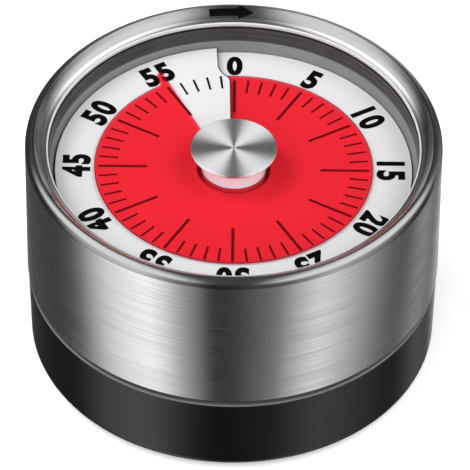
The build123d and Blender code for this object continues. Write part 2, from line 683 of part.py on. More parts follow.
def front_plate():
    mounts = [(polar(MOUNT_SCREW_CIRCLE, angle), MOUNT_THREAD_RADIUS) for angle in MOUNT_SCREW_ANGLES]
    holes = frame_holes() + mounts + [(LEVER_POST, LEVER_POST_RADIUS)]
    return movement_plate(FRONT_PLATE_BOTTOM, holes)


def plate_pillars():
    def make(centre):
        pillar = rod(PILLAR_RADIUS, BACK_PLATE_TOP, FRONT_PLATE_BOTTOM, centre)
        low = rod(PILLAR_SCREW_RADIUS, BACK_PLATE_TOP, BACK_PLATE_TOP + PILLAR_THREAD_DEPTH, centre)
        high = rod(
            PILLAR_SCREW_RADIUS, FRONT_PLATE_BOTTOM - PILLAR_THREAD_DEPTH, FRONT_PLATE_BOTTOM, centre
        )
        return pillar - low - high

    return at_points(make, PILLAR_CIRCLE, PILLAR_ANGLES)


def pillar_screws():
    """Two screws to each pillar, one through each plate."""

    def make_low(centre):
        shank = rod(PILLAR_SCREW_RADIUS, BACK_PLATE_BOTTOM, BACK_PLATE_TOP + PILLAR_THREAD_DEPTH, centre)
        return shank + rod(PILLAR_RADIUS, BACK_PLATE_BOTTOM - PILLAR_SCREW_HEAD, BACK_PLATE_BOTTOM, centre)

    def make_high(centre):
        bottom = FRONT_PLATE_BOTTOM - PILLAR_THREAD_DEPTH
        shank = rod(PILLAR_SCREW_RADIUS, bottom, FRONT_PLATE_TOP, centre)
        return shank + rod(PILLAR_RADIUS, FRONT_PLATE_TOP, FRONT_PLATE_TOP + PILLAR_SCREW_HEAD, centre)

    places = [polar(PILLAR_CIRCLE, angle) for angle in PILLAR_ANGLES]
    return Compound(children=[make(place) for place in places for make in (make_low, make_high)])


def movement_screws():
    def make(centre):
        head_bottom = FRONT_PLATE_BOTTOM - MOUNT_HEAD_HEIGHT
        return screw(
            centre, MOUNT_HEAD_RADIUS, head_bottom, MOUNT_HEAD_HEIGHT, MOUNT_THREAD_RADIUS, MOUNT_SCREW_TOP
        )

    return at_points(make, MOUNT_SCREW_CIRCLE, MOUNT_SCREW_ANGLES)


def plate_bushes(outer, bore, centres):
    """One bush in each plate at each centre, as separate solids."""
    pieces = []
    for centre in centres:
        for bottom in (BACK_PLATE_BOTTOM, FRONT_PLATE_BOTTOM):
            top = bottom + PLATE_THICKNESS
            pieces.append(tube(outer, bore, bottom - BUSH_PROUD, top + BUSH_PROUD, centre))
    return Compound(children=pieces)


def main_bushes():
    return plate_bushes(ARBOR_RADIUS + BUSH_WALL, ARBOR_RADIUS + RUNNING_FIT, [ARBOR_AXIS])


def train_bushes():
    return plate_bushes(TRAIN_BUSH_RADIUS, PIVOT_RADIUS + RUNNING_FIT, TRAIN_AXES)


def spring_post():
    """The post between the plates that holds the mainspring's outer end."""
    return rod(SPRING_POST_RADIUS, BACK_PLATE_TOP, SPRING_TOP + SPRING_POST_PROUD, SPRING_POST)


def mainspring():
    """The strip spring that drives the arbor. Its inner end stops just clear of the arbor's core."""
    inner = ARBOR_CORE_RADIUS + SPRING_CORE_CLEARANCE
    outline = spiral(inner, SPRING_OUTER_RADIUS, SPRING_STRIP, SPRING_TURNS, -90, SPRING_TAIL)
    outline -= Pos(*SPRING_POST) * Circle(SPRING_POST_RADIUS)
    return prism(outline, SPRING_BOTTOM, SPRING_TOP)


# ---- arbor and knob ----
def main_arbor():
    """The steel arbor with the thick core for the mainspring."""
    shaft = rod(ARBOR_RADIUS, ARBOR_BOTTOM, INSERT_TOP)
    core_bottom = BACK_PLATE_TOP + BUSH_PROUD + CORE_CLEARANCE
    return shaft + rod(ARBOR_CORE_RADIUS, core_bottom, RATCHET_BOTTOM)


def arbor_clip():
    """The open retaining clip above the front plate."""
    bottom = FRONT_PLATE_TOP + BUSH_PROUD + END_SHAKE
    ring = tube(CLIP_RADIUS, ARBOR_RADIUS, bottom, bottom + CLIP_THICKNESS)
    return ring - Pos(CLIP_RADIUS, 0, bottom) * Box(2 * CLIP_RADIUS, CLIP_OPENING, 3 * CLIP_THICKNESS)


def great_wheel():
    face = wheel_face(GREAT_TEETH, GREAT_MODULE, 0)
    face = spoked(face, *GREAT_SPOKES)
    return placed_wheel(face, ARBOR_RADIUS, GREAT_BOTTOM, GREAT_TOP, ARBOR_AXIS)


def ratchet_face():
    """The outline of the saw teeth that the click drops into."""
    pitch = 360.0 / RATCHET_TEETH
    points = []
    for tooth in range(RATCHET_TEETH):
        points.append(polar(RATCHET_RADIUS - RATCHET_DEPTH, tooth * pitch))
        points.append(polar(RATCHET_RADIUS, tooth * pitch))
    return polygon(points)


def ratchet_wheel():
    return placed_wheel(ratchet_face(), ARBOR_RADIUS, RATCHET_BOTTOM, RATCHET_TOP, ARBOR_AXIS)


def click_nose():
    """Where the click's nose points, inside a gap between two ratchet teeth."""
    angle = direction_to(ARBOR_AXIS, CLICK_PIVOT) + CLICK_NOSE_ANGLE
    return polar(RATCHET_RADIUS - RATCHET_DEPTH / 2, angle)


def click():
    """The pawl that drops into the ratchet wheel, cut back so that it clears the teeth."""
    root = Pos(*CLICK_PIVOT) * Circle(CLICK_ARM_RADIUS)
    nose = Pos(*click_nose()) * Circle(CLICK_NOSE_RADIUS)
    arm = make_hull(root.edges() + nose.edges())
    outline = Pos(*CLICK_PIVOT) * Circle(CLICK_HUB_RADIUS) + arm
    outline -= offset(ratchet_face(), CLICK_CLEARANCE)
    outline -= Pos(*CLICK_PIVOT) * Circle(CLICK_POST_RADIUS + RUNNING_FIT)
    return prism(outline, CLICK_BOTTOM, CLICK_TOP)


def click_post():
    """The shouldered post under the great wheel that the click turns on."""
    collar_top = CLICK_BOTTOM - END_SHAKE
    shank = rod(CLICK_POST_RADIUS, collar_top, GREAT_BOTTOM, CLICK_PIVOT)
    return shank + rod(CLICK_COLLAR_RADIUS, collar_top - CLICK_COLLAR_HEIGHT, collar_top, CLICK_PIVOT)


def click_spring():
    """The wire that presses the click inwards, fixed to a stud of its own under the great wheel."""
    stud = polar(CLICK_STUD_CIRCLE, CLICK_DIRECTION + CLICK_STUD_LAG)
    end = polar(CLICK_WIRE_CIRCLE, CLICK_DIRECTION + CLICK_WIRE_LAG)
    outline = bar(end, stud, CLICK_WIRE_WIDTH)
    wire = prism(outline, CLICK_BOTTOM + CLICK_WIRE_INSET, CLICK_TOP - CLICK_WIRE_INSET)
    return wire + rod(CLICK_STUD_RADIUS, CLICK_BOTTOM, GREAT_BOTTOM, stud)


def alarm_cam():
    """The cam that holds the alarm lever off until its notch comes round at 0 minutes."""
    turned_by = 360.0 * REST_MINUTES / FULL_TURN_MINUTES
    nose_angle = direction_to(ARBOR_AXIS, lever_nose())
    notch_angle = nose_angle - turned_by
    notch = Rot(0, 0, notch_angle) * Pos(CAM_RADIUS, 0) * Rectangle(2 * CAM_NOTCH_DEPTH, CAM_NOTCH_WIDTH)
    return placed_wheel(Circle(CAM_RADIUS) - notch, ARBOR_RADIUS, CAM_BOTTOM, CAM_TOP, ARBOR_AXIS)


def arbor_hubs():
    """The brass collars that space the great wheel and the alarm cam on the arbor."""
    low = tube(HUB_RADIUS, ARBOR_RADIUS, GREAT_TOP, CAM_BOTTOM)
    high = tube(TOP_HUB_RADIUS, ARBOR_RADIUS, CAM_TOP, FRONT_PLATE_BOTTOM - BUSH_PROUD - END_SHAKE)
    ratchet = tube(HUB_RADIUS, ARBOR_RADIUS, RATCHET_TOP, GREAT_BOTTOM)
    return Compound(children=[ratchet, low, high])


def disc_clamp():
    """The washer under the knob that clamps the middle of the red disc's film."""
    return tube(CLAMP_RADIUS, ARBOR_RADIUS, NECK_BOTTOM - CLAMP_THICKNESS, NECK_BOTTOM)


def knob_insert():
    """The brass insert that grips the arbor inside the knob's neck."""
    return tube(INSERT_RADIUS, ARBOR_RADIUS, NECK_BOTTOM, INSERT_TOP)


def knob_neck():
    """The white neck of the knob, which widens upwards to the metal cap."""
    cap_bottom = CAP_TOP - CAP_THICKNESS
    taper_middle = (NECK_RADIUS + NECK_TAPER_SAG, (NECK_TAPER_BOTTOM + cap_bottom) / 2)
    return turned(
        Line((INSERT_RADIUS, NECK_BOTTOM), (NECK_RADIUS, NECK_BOTTOM)),
        Line((NECK_RADIUS, NECK_BOTTOM), (NECK_RADIUS, NECK_TAPER_BOTTOM)),
        ThreePointArc((NECK_RADIUS, NECK_TAPER_BOTTOM), taper_middle, (NECK_TOP_RADIUS, cap_bottom)),
        Line((NECK_TOP_RADIUS, cap_bottom), (SPIGOT_CAP_RADIUS, cap_bottom)),
        Line((SPIGOT_CAP_RADIUS, cap_bottom), (SPIGOT_CAP_RADIUS, SPIGOT_CAP_BOTTOM)),
        Line((SPIGOT_CAP_RADIUS, SPIGOT_CAP_BOTTOM), (0, SPIGOT_CAP_BOTTOM)),
        Line((0, SPIGOT_CAP_BOTTOM), (0, INSERT_TOP)),
        Line((0, INSERT_TOP), (INSERT_RADIUS, INSERT_TOP)),
        Line((INSERT_RADIUS, INSERT_TOP), (INSERT_RADIUS, NECK_BOTTOM)),
    )


def knob_cap():
    """The turned metal cap, very slightly dished, with a stub that is pressed into the neck."""
    bottom = CAP_TOP - CAP_THICKNESS
    return turned(
        Line((0, SPIGOT_CAP_BOTTOM), (SPIGOT_CAP_RADIUS, SPIGOT_CAP_BOTTOM)),
        Line((SPIGOT_CAP_RADIUS, SPIGOT_CAP_BOTTOM), (SPIGOT_CAP_RADIUS, bottom)),
        Line((SPIGOT_CAP_RADIUS, bottom), (CAP_RADIUS - CAP_EDGE, bottom)),
        Line((CAP_RADIUS - CAP_EDGE, bottom), (CAP_RADIUS, bottom + CAP_EDGE)),
        Line((CAP_RADIUS, bottom + CAP_EDGE), (CAP_RADIUS, CAP_TOP - CAP_EDGE)),
        Line((CAP_RADIUS, CAP_TOP - CAP_EDGE), (CAP_RADIUS - CAP_EDGE, CAP_TOP)),
        Line((CAP_RADIUS - CAP_EDGE, CAP_TOP), (0, CAP_TOP - CAP_DISH)),
        Line((0, CAP_TOP - CAP_DISH), (0, SPIGOT_CAP_BOTTOM)),
    )


# ---- wheel train ----
def staff(centre, bottom=None, top=None):
    """A train arbor: a staff with a thinner pivot at each end, running in the plates' bushes."""
    bottom = bottom or BACK_PLATE_BOTTOM - BUSH_PROUD
    top = top or FRONT_PLATE_TOP + BUSH_PROUD
    pivots = rod(PIVOT_RADIUS, bottom, top, centre)
    low_shoulder = BACK_PLATE_TOP + BUSH_PROUD + STAFF_SHAKE
    high_shoulder = FRONT_PLATE_BOTTOM - BUSH_PROUD - STAFF_SHAKE
    return pivots + rod(STAFF_RADIUS, low_shoulder, high_shoulder, centre)


def pinion_staff(centre, face, bottom, top, foot=None):
    """A staff with its pinion cut on it."""
    return staff(centre, bottom=foot) + Pos(centre[0], centre[1], 0) * prism(face, bottom, top)


def meshed_phase(wheel_centre, wheel_teeth, wheel_phase, pinion_centre, pinion_teeth):
    """The pinion's phase that puts a gap of the pinion where the wheel has a tooth, or the reverse."""
    towards = direction_to(wheel_centre, pinion_centre)
    pitch = 360.0 / wheel_teeth
    teeth_past = (towards - wheel_phase) / pitch
    pinion_pitch = 360.0 / pinion_teeth
    return towards + 180.0 + teeth_past * pinion_pitch + pinion_pitch / 2


SECOND_PINION_PHASE = meshed_phase(ARBOR_AXIS, GREAT_TEETH, 0, SECOND_AXIS, SECOND_PINION_TEETH)
THIRD_PINION_PHASE = meshed_phase(SECOND_AXIS, SECOND_TEETH, 0, THIRD_AXIS, THIRD_PINION_TEETH)
ESCAPE_PINION_PHASE = meshed_phase(THIRD_AXIS, THIRD_TEETH, 0, ESCAPE_AXIS, ESCAPE_PINION_TEETH)


def second_arbor():
    face = pinion_face(SECOND_PINION_TEETH, GREAT_MODULE, SECOND_PINION_PHASE)
    return pinion_staff(
        SECOND_AXIS, face, GREAT_BOTTOM - PINION_OVERHANG, GREAT_TOP + PINION_OVERHANG, HAMMER_BOTTOM
    )


def second_wheel():
    face = spoked(wheel_face(SECOND_TEETH, SECOND_MODULE, 0), *SECOND_SPOKES)
    return placed_wheel(face, STAFF_RADIUS, SECOND_BOTTOM, SECOND_TOP, SECOND_AXIS)


def star_wheel():
    """The star under the back plate that throws the hammer."""
    points = []
    for tooth in range(STAR_TEETH):
        middle = tooth * 360 / STAR_TEETH
        points.append(polar(STAR_RADIUS, middle))
        points.append(polar(STAR_RADIUS - STAR_DEPTH, middle + 180 / STAR_TEETH))
    return placed_wheel(polygon(points), PIVOT_RADIUS, HAMMER_BOTTOM, HAMMER_TOP, SECOND_AXIS)


def third_arbor():
    face = pinion_face(THIRD_PINION_TEETH, SECOND_MODULE, THIRD_PINION_PHASE)
    return pinion_staff(THIRD_AXIS, face, SECOND_BOTTOM - PINION_OVERHANG, SECOND_TOP + PINION_OVERHANG)


def third_wheel():
    face = spoked(wheel_face(THIRD_TEETH, THIRD_MODULE, 0), *THIRD_SPOKES)
    return placed_wheel(face, STAFF_RADIUS, THIRD_BOTTOM, THIRD_TOP, THIRD_AXIS)


def escape_arbor():
    face = pinion_face(ESCAPE_PINION_TEETH, THIRD_MODULE, ESCAPE_PINION_PHASE)
    return pinion_staff(ESCAPE_AXIS, face, THIRD_BOTTOM - PINION_OVERHANG, THIRD_TOP + PINION_OVERHANG)


def escape_wheel():
    """The escape wheel's pointed teeth, with a gap between two teeth facing the balance."""
    pitch = 360.0 / ESCAPE_TEETH
    phase = direction_to(ESCAPE_AXIS, BALANCE_AXIS) + pitch / 2
    radii = (ESCAPE_ROOT_RADIUS, ESCAPE_TIP_RADIUS)
    face = toothed_face(ESCAPE_TEETH, *radii, ESCAPE_ROOT_SHARE, ESCAPE_TIP_SHARE, phase)
    return placed_wheel(face, STAFF_RADIUS, ESCAPE_BOTTOM, ESCAPE_TOP, ESCAPE_AXIS)


# ---- balance ----
def balance_staff():
    return staff(BALANCE_AXIS)


def balance_wheel():
    face = Circle(BALANCE_RADIUS) - Circle(BALANCE_RADIUS - BALANCE_RIM)
    spoke = Rectangle(2 * BALANCE_RADIUS - BALANCE_RIM, BALANCE_SPOKE_WIDTH)
    face += Circle(BALANCE_HUB_RADIUS) + spoke
    return placed_wheel(face, STAFF_RADIUS, BALANCE_BOTTOM, BALANCE_TOP, BALANCE_AXIS)


def pallet_pin_centres():
    towards = direction_to(ESCAPE_AXIS, BALANCE_AXIS)
    radius = ESCAPE_TIP_RADIUS + PALLET_CLEARANCE + PALLET_PIN_RADIUS
    return [polar(radius, towards + side * PALLET_HALF_ANGLE, ESCAPE_AXIS) for side in (-1, 1)]


def pallet_fork():
    """The two-armed fork on the balance staff that carries the pallet pins over the escape wheel."""
    face = Pos(*BALANCE_AXIS) * Circle(FORK_HUB_RADIUS)
    for pin in pallet_pin_centres():
        face += bar(BALANCE_AXIS, pin, FORK_ARM_WIDTH)
    face -= Pos(*BALANCE_AXIS) * Circle(STAFF_RADIUS)
    for pin in pallet_pin_centres():
        face -= Pos(*pin) * Circle(PALLET_PIN_RADIUS)
    return prism(face, FORK_BOTTOM, FORK_TOP)


def pallet_pins():
    bottom = ESCAPE_BOTTOM - PALLET_PIN_PROUD
    pins = [rod(PALLET_PIN_RADIUS, bottom, FORK_TOP, pin) for pin in pallet_pin_centres()]
    return Compound(children=pins)


def hairspring_collet():
    bottom, top = HAIRSPRING_BOTTOM - COLLET_PROUD, HAIRSPRING_TOP + COLLET_PROUD
    return tube(COLLET_RADIUS, STAFF_RADIUS, bottom, top, BALANCE_AXIS)


def hairspring():
    """The flat spiral that returns the balance. Its inner end stops just clear of the collet."""
    inner = COLLET_RADIUS + HAIRSPRING_CLEARANCE
    outer = HAIRSPRING_OUTER_RADIUS
    outline = spiral(inner, outer, HAIRSPRING_STRIP, HAIRSPRING_TURNS, 90, HAIRSPRING_TAIL)
    return Pos(BALANCE_AXIS[0], BALANCE_AXIS[1], 0) * prism(outline, HAIRSPRING_BOTTOM, HAIRSPRING_TOP)


def hairspring_stud():
    """The post on the back plate beside the hairspring that takes its outer end."""
    centre = (BALANCE_AXIS[0], BALANCE_AXIS[1] + HAIRSPRING_OUTER_RADIUS + STUD_OFFSET)
    return rod(STUD_RADIUS, BACK_PLATE_TOP, HAIRSPRING_TOP + STUD_PROUD, centre)


# ---- alarm ----
def lever_nose():
    """Where the lever's roller rides on the cam, so that the lever lifts it straight outwards."""
    radius = CAM_RADIUS + LEVER_CLEARANCE + LEVER_ROLLER_RADIUS
    offset_angle = degrees(acos(radius / hypot(*LEVER_POST)))
    return polar(radius, direction_to(ARBOR_AXIS, LEVER_POST) - offset_angle)


def alarm_lever():
    """The lever that follows the cam. Its tail would hold the hammer back while time is left."""
    nose = lever_nose()
    back = direction_to(nose, LEVER_POST)
    tail = polar(LEVER_TAIL_LENGTH, back, LEVER_POST)
    face = bar(LEVER_POST, nose, 2 * LEVER_ROLLER_RADIUS) + bar(LEVER_POST, tail, LEVER_TAIL_WIDTH)
    face += Pos(*LEVER_POST) * Circle(LEVER_HUB_RADIUS)
    face -= Pos(*LEVER_POST) * Circle(LEVER_POST_RADIUS + RUNNING_FIT)
    return prism(face, LEVER_BOTTOM, LEVER_TOP)


def lever_post():
    collar_top = LEVER_BOTTOM - LEVER_SHAKE
    shank = rod(LEVER_POST_RADIUS, collar_top, FRONT_PLATE_TOP, LEVER_POST)
    return shank + rod(LEVER_COLLAR_RADIUS, collar_top - LEVER_COLLAR_HEIGHT, collar_top, LEVER_POST)


def lever_spring():
    """The leaf beside the lever that pushes it towards the cam, hung from the front plate."""
    end = polar(LEVER_SPRING_REACH, direction_to(LEVER_POST, lever_nose()) + LEVER_SPRING_LEAD, LEVER_POST)
    outline = bar(LEVER_SPRING_FOOT, end, LEAF_WIDTH)
    leaf = prism(outline, LEVER_BOTTOM + LEAF_INSET, LEVER_TOP - LEAF_INSET)
    return leaf + rod(LEAF_FOOT_RADIUS, LEVER_BOTTOM, FRONT_PLATE_BOTTOM, LEVER_SPRING_FOOT)


def bell():
    """The drawn steel bell, open downwards, screwed to its post."""
    shoulder = BELL_SHOULDER
    corner = polar(shoulder, 45, (BELL_RADIUS - shoulder, BELL_TOP - shoulder))
    inside = shoulder - BELL_WALL
    inside_corner = polar(inside, 45, (BELL_RADIUS - shoulder, BELL_TOP - shoulder))
    return turned(
        Line((BELL_HOLE_RADIUS, BELL_TOP - BELL_WALL), (BELL_HOLE_RADIUS, BELL_TOP)),
        Line((BELL_HOLE_RADIUS, BELL_TOP), (BELL_RADIUS - shoulder, BELL_TOP)),
        ThreePointArc((BELL_RADIUS - shoulder, BELL_TOP), corner, (BELL_RADIUS, BELL_TOP - shoulder)),
        Line((BELL_RADIUS, BELL_TOP - shoulder), (BELL_RADIUS, BELL_BOTTOM)),
        Line((BELL_RADIUS, BELL_BOTTOM), (BELL_RADIUS - BELL_WALL, BELL_BOTTOM)),
        Line((BELL_RADIUS - BELL_WALL, BELL_BOTTOM), (BELL_RADIUS - BELL_WALL, BELL_TOP - shoulder)),
        ThreePointArc(
            (BELL_RADIUS - BELL_WALL, BELL_TOP - shoulder),
            inside_corner,
            (BELL_RADIUS - shoulder, BELL_TOP - BELL_WALL),
        ),
        Line((BELL_RADIUS - shoulder, BELL_TOP - BELL_WALL), (BELL_HOLE_RADIUS, BELL_TOP - BELL_WALL)),
    )


def bell_post():
    post = rod(BELL_POST_RADIUS, BASE_FLOOR_TOP + BELL_PAD_HEIGHT, BELL_TOP - BELL_WALL)
    return post - rod(BELL_HOLE_RADIUS, BELL_TOP - BELL_WALL - BELL_THREAD_DEPTH, BELL_TOP)


def bell_screw():
    shank = rod(BELL_HOLE_RADIUS, BELL_TOP - BELL_WALL - BELL_THREAD_DEPTH, BELL_TOP)
    head = rod(BELL_SCREW_HEAD_RADIUS, BELL_TOP, BELL_SCREW_TOP)
    slot = Pos(0, 0, BELL_SCREW_TOP) * Box(3 * BELL_POST_RADIUS, BELL_SLOT_WIDTH, 2 * BELL_SLOT_DEPTH)
    return shank + head - slot


def hammer_arm():
    """The bell crank of the hammer: one arm to the head, one tail beside the star wheel."""
    towards_star = direction_to(HAMMER_POST, SECOND_AXIS)
    reach = distance_between(HAMMER_POST, SECOND_AXIS) - STAR_RADIUS - HAMMER_TAIL_CLEARANCE
    tail = polar(reach - HAMMER_TAIL_WIDTH / 2, towards_star, HAMMER_POST)
    face = Pos(*HAMMER_POST) * Circle(HAMMER_HUB_RADIUS) + bar(HAMMER_POST, HAMMER_HEAD, HAMMER_ARM_WIDTH)
    face += bar(HAMMER_POST, tail, HAMMER_TAIL_WIDTH)
    face -= Pos(*HAMMER_POST) * Circle(HAMMER_POST_RADIUS + RUNNING_FIT)
    return prism(face, HAMMER_BOTTOM, HAMMER_TOP)


def hammer_head():
    """The weight that hangs from the arm beside the bell's rim."""
    return rod(HAMMER_HEAD_RADIUS, BELL_BOTTOM + HAMMER_HEAD_LIFT, HAMMER_BOTTOM, HAMMER_HEAD)


def hammer_post():
    collar_top = HAMMER_BOTTOM - END_SHAKE
    shank = rod(HAMMER_POST_RADIUS, collar_top, BACK_PLATE_TOP, HAMMER_POST)
    return shank + rod(HAMMER_COLLAR_RADIUS, collar_top - HAMMER_COLLAR_HEIGHT, collar_top, HAMMER_POST)


def hammer_spring():
    """The wire under the back plate that returns the hammer, fixed beside the hammer's post."""
    direction = direction_to(HAMMER_POST, HAMMER_HEAD) - HAMMER_SPRING_LAG
    end = polar(HAMMER_SPRING_REACH, direction, HAMMER_POST)
    bottom = HAMMER_BOTTOM + HAMMER_WIRE
    wire = prism(bar(HAMMER_SPRING_FOOT, end, HAMMER_WIRE), bottom, bottom + HAMMER_WIRE)
    foot_bottom = HAMMER_BOTTOM + HAMMER_SPRING_FOOT_LIFT
    return wire + rod(HAMMER_SPRING_FOOT_RADIUS, foot_bottom, BACK_PLATE_BOTTOM, HAMMER_SPRING_FOOT)


PIECES = (
    steel_shell,
    inner_bezel,
    dial_seat_ring,
    dial,
    red_disc,
    dial_carrier,
    base_cup,
    foot_ring,
    magnet_cover,
    holding_magnets,
    cover_screw,
    case_screws,
    back_plate,
    front_plate,
    plate_pillars,
    pillar_screws,
    movement_screws,
    main_bushes,
    train_bushes,
    spring_post,
    mainspring,
    main_arbor,
    arbor_clip,
    arbor_hubs,
    great_wheel,
    ratchet_wheel,
    click,
    click_post,
    click_spring,
    alarm_cam,
    disc_clamp,
    knob_insert,
    knob_neck,
    knob_cap,
    second_arbor,
    second_wheel,
    star_wheel,
    third_arbor,
    third_wheel,
    escape_arbor,
    escape_wheel,
    balance_staff,
    balance_wheel,
    pallet_fork,
    pallet_pins,
    hairspring_collet,
    hairspring,
    hairspring_stud,
    alarm_lever,
    lever_post,
    lever_spring,
    bell,
    bell_post,
    bell_screw,
    hammer_arm,
    hammer_head,
    hammer_post,
    hammer_spring,
)


def print_joint_places():
    """Print where each turning axis is, for the record."""
    axes = {
        "arbor": ARBOR_AXIS,
        "click": CLICK_PIVOT,
        "second": SECOND_AXIS,
        "third": THIRD_AXIS,
        "escape": ESCAPE_AXIS,
        "balance": BALANCE_AXIS,
        "lever": LEVER_POST,
        "hammer": HAMMER_POST,
    }
    for name, (x, y) in axes.items():
        print(f"axis {name}: {x:.4f}, {y:.4f} mm")
    print(f"red disc travel: {DIAL_PITCH / (2 * pi):.5f} mm per radian")


def main():
    os.makedirs("parts", exist_ok=True)
    for piece in PIECES:
        export_step(piece(), f"parts/{piece.__name__}.step")
    print_joint_places()


main()
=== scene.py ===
"""The looks of a round mechanical countdown timer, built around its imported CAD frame.

Lengths are in metres, as in the frame. Dimensions below are in millimetres where they are multiplied by MM.
The dial's 0 mark is towards +Y and its minutes run clockwise as seen from above.
"""
import json
from math import atan2, cos, degrees, pi, radians, sin

import bmesh
import bpy
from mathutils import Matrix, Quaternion, Vector


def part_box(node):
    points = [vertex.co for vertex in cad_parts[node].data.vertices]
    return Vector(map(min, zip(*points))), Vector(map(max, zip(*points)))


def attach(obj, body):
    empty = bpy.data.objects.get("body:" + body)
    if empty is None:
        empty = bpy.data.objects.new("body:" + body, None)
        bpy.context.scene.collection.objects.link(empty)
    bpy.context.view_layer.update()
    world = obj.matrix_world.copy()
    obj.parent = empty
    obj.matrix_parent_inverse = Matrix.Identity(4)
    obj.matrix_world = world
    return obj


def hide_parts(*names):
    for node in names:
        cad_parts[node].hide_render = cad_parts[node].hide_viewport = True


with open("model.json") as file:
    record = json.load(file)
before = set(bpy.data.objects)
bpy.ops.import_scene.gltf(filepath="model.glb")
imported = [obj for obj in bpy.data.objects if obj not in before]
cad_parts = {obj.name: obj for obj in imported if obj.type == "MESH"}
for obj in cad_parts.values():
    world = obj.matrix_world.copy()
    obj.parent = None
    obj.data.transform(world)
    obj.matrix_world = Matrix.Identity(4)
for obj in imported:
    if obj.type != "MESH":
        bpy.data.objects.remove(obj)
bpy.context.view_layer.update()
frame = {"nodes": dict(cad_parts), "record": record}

MM = 0.001
NODES = frame["nodes"]

# ---- places read from the frame ----
SHELL_LOW, SHELL_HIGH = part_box("steel_shell")
SEAT_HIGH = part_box("dial_seat_ring")[1]
DIAL_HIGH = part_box("dial")[1]
CAP_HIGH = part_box("knob_cap")[1]
NECK_LOW, NECK_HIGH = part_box("knob_neck")
SHELL_RADIUS = SHELL_HIGH.x
RIM_TOP = SHELL_HIGH.z

# ---- dimensions that the frame's boxes don't give ----
RIM_ROUNDING = 1.7 * MM
RIM_DIP = 2.1 * MM
RIM_INNER_RADIUS = 35.6 * MM
SHELL_WALL = 0.8 * MM
CREST_RADIUS = SHELL_RADIUS - RIM_ROUNDING
DIAL_PITCH = 1.2 * MM  # rise of the dial over one turn
MINUTES = 60
PRINT_LIFT = 0.05 * MM
NUMERAL_RADIUS = 30.2 * MM
NUMERAL_HEIGHT = 5.5 * MM
NUMERAL_CONDENSING = 0.84
NUMERAL_BOLDNESS = 0.052  # how far the strokes swell, as a share of the font's size
NUMERAL_SPACING = 1.16
NUMERAL_RESOLUTION = 6
TICK_OUTER = 26.0 * MM
MINOR_TICK_INNER = 22.4 * MM
MAJOR_TICK_INNER = 16.7 * MM
MINOR_TICK_WIDTH = 0.42 * MM
MAJOR_TICK_WIDTH = 0.58 * MM
CAP_THICKNESS = 0.6 * MM
CAP_EDGE_ROUNDING = 0.2 * MM
CAP_DISH_DEPTH = 0.12 * MM
NECK_NARROW_RADIUS = 6.2 * MM
NECK_TAPER_HEIGHT = 3.6 * MM  # from the taper's start up to the cap's top
NECK_FLARE_POWER = 2.2
SLIT_MARGIN = 0.5 * MM  # how far outside the neck the slit's line of painted shade starts
SLIT_FAR_X = -3.75 * MM
SLIT_RAISED_SHARE = 0.1  # the share of the dial's rise within which its end counts as raised
# size and offset of the dark bead of painted shade along the dial's slit
SLIT_SHADE_RADIUS = 0.09 * MM
SLIT_SHADE_OFFSET = 0.06 * MM
UPRIGHT_LIMIT = 0.3  # a face is upright where its normal's height is below this
DISC_RADIUS = 26.8 * MM
# the base's painted highlight line lies at the seam's height, this wide on each side
BASE_SEAM_HEIGHT = 17.37 * MM
BASE_HIGHLIGHT_HALF = 0.16 * MM
POINTER_TURN = radians(-31.8)  # where the pointer's root is, clockwise from +Y
POINTER_HALF_WIDTH = radians(2.4)
FILM_SHADE_LINE_HALF = 0.08 * MM  # half the width of the dark line of painted shade at the film's rim
FILM_TINT = (1.0, 0.165, 0.22, 1)
# the deep red painted on the film's cut faces and rim line as the shade of its edge
FILM_EDGE_SHADE_COLOUR = (0.20, 0.002, 0.008, 1)
FILM_SHEEN = 0.11  # how much of the film's face is gloss and pigment, the rest being clear
LATHE_STEPS = 256


# ---- mesh helpers ----
def mesh_piece(name, build, material, body):
    """Makes a piece from a function that fills a bmesh, gives it a material and lets it ride a body."""
    bm = bmesh.new()
    build(bm)
    bmesh.ops.recalc_face_normals(bm, faces=bm.faces)
    mesh = bpy.data.meshes.new(name)
    bm.to_mesh(mesh)
    bm.free()
    mesh.materials.append(material)
    piece = bpy.data.objects.new(name, mesh)
    bpy.context.scene.collection.objects.link(piece)
    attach(piece, body)
    return piece


def arc(centre, radius, start, end, steps):
    """Points of a profile's arc, as (radius, height), from a start to an end angle in degrees."""
    points = []
    for step in range(steps + 1):
        angle = radians(start + (end - start) * step / steps)
        points.append((centre[0] + radius * cos(angle), centre[1] + radius * sin(angle)))
    return points


def lathe(bm, profile, steps=LATHE_STEPS, sharp_angle=35.0):
    """Turns a closed profile of (radius, height) round Z. Corners over the sharp angle stay crisp."""
    rings = []
    for radius, height in profile:
        if radius < 1e-7:
            rings.append([bm.verts.new((0, 0, height))] * steps)
            continue
        ring = []
        for step in range(steps):
            angle = 2 * pi * step / steps
            ring.append(bm.verts.new((radius * cos(angle), radius * sin(angle), height)))
        rings.append(ring)
    count = len(profile)
    for index in range(count):
        low, high = rings[index], rings[(index + 1) % count]
        for step in range(steps):
            after = (step + 1) % steps
            corners = [low[step], low[after], high[after], high[step]]
            unique = list(dict.fromkeys(corners))
            if len(unique) > 2:
                bm.faces.new(unique).smooth = True
    bm.normal_update()
    for edge in bm.edges:
        if len(edge.link_faces) == 2 and degrees(edge.calc_face_angle(0)) > sharp_angle:
            edge.smooth = False


# ---- material helpers ----
def new_material(name):
    """An empty node material. Returns it with its tree and its Principled shader."""
    material = bpy.data.materials.new(name)
    material.use_nodes = True
    tree = material.node_tree
    return material, tree, tree.nodes["Principled BSDF"]


def add_node(tree, kind, **settings):
    node = tree.nodes.new(kind)
    for key, value in settings.items():
        setattr(node, key, value)
    return node


def set_inputs(node, **values):
    for key, value in values.items():
        node.inputs[key.replace("_", " ")].default_value = value


def math_node(tree, operation, first, second):
    """A Math node whose two inputs are sockets or numbers."""
    node = add_node(tree, "ShaderNodeMath", operation=operation)
    for index, value in enumerate((first, second)):
        if isinstance(value, (int, float)):
            node.inputs[index].default_value = value
        else:
            tree.links.new(value, node.inputs[index])
    return node.outputs[0]


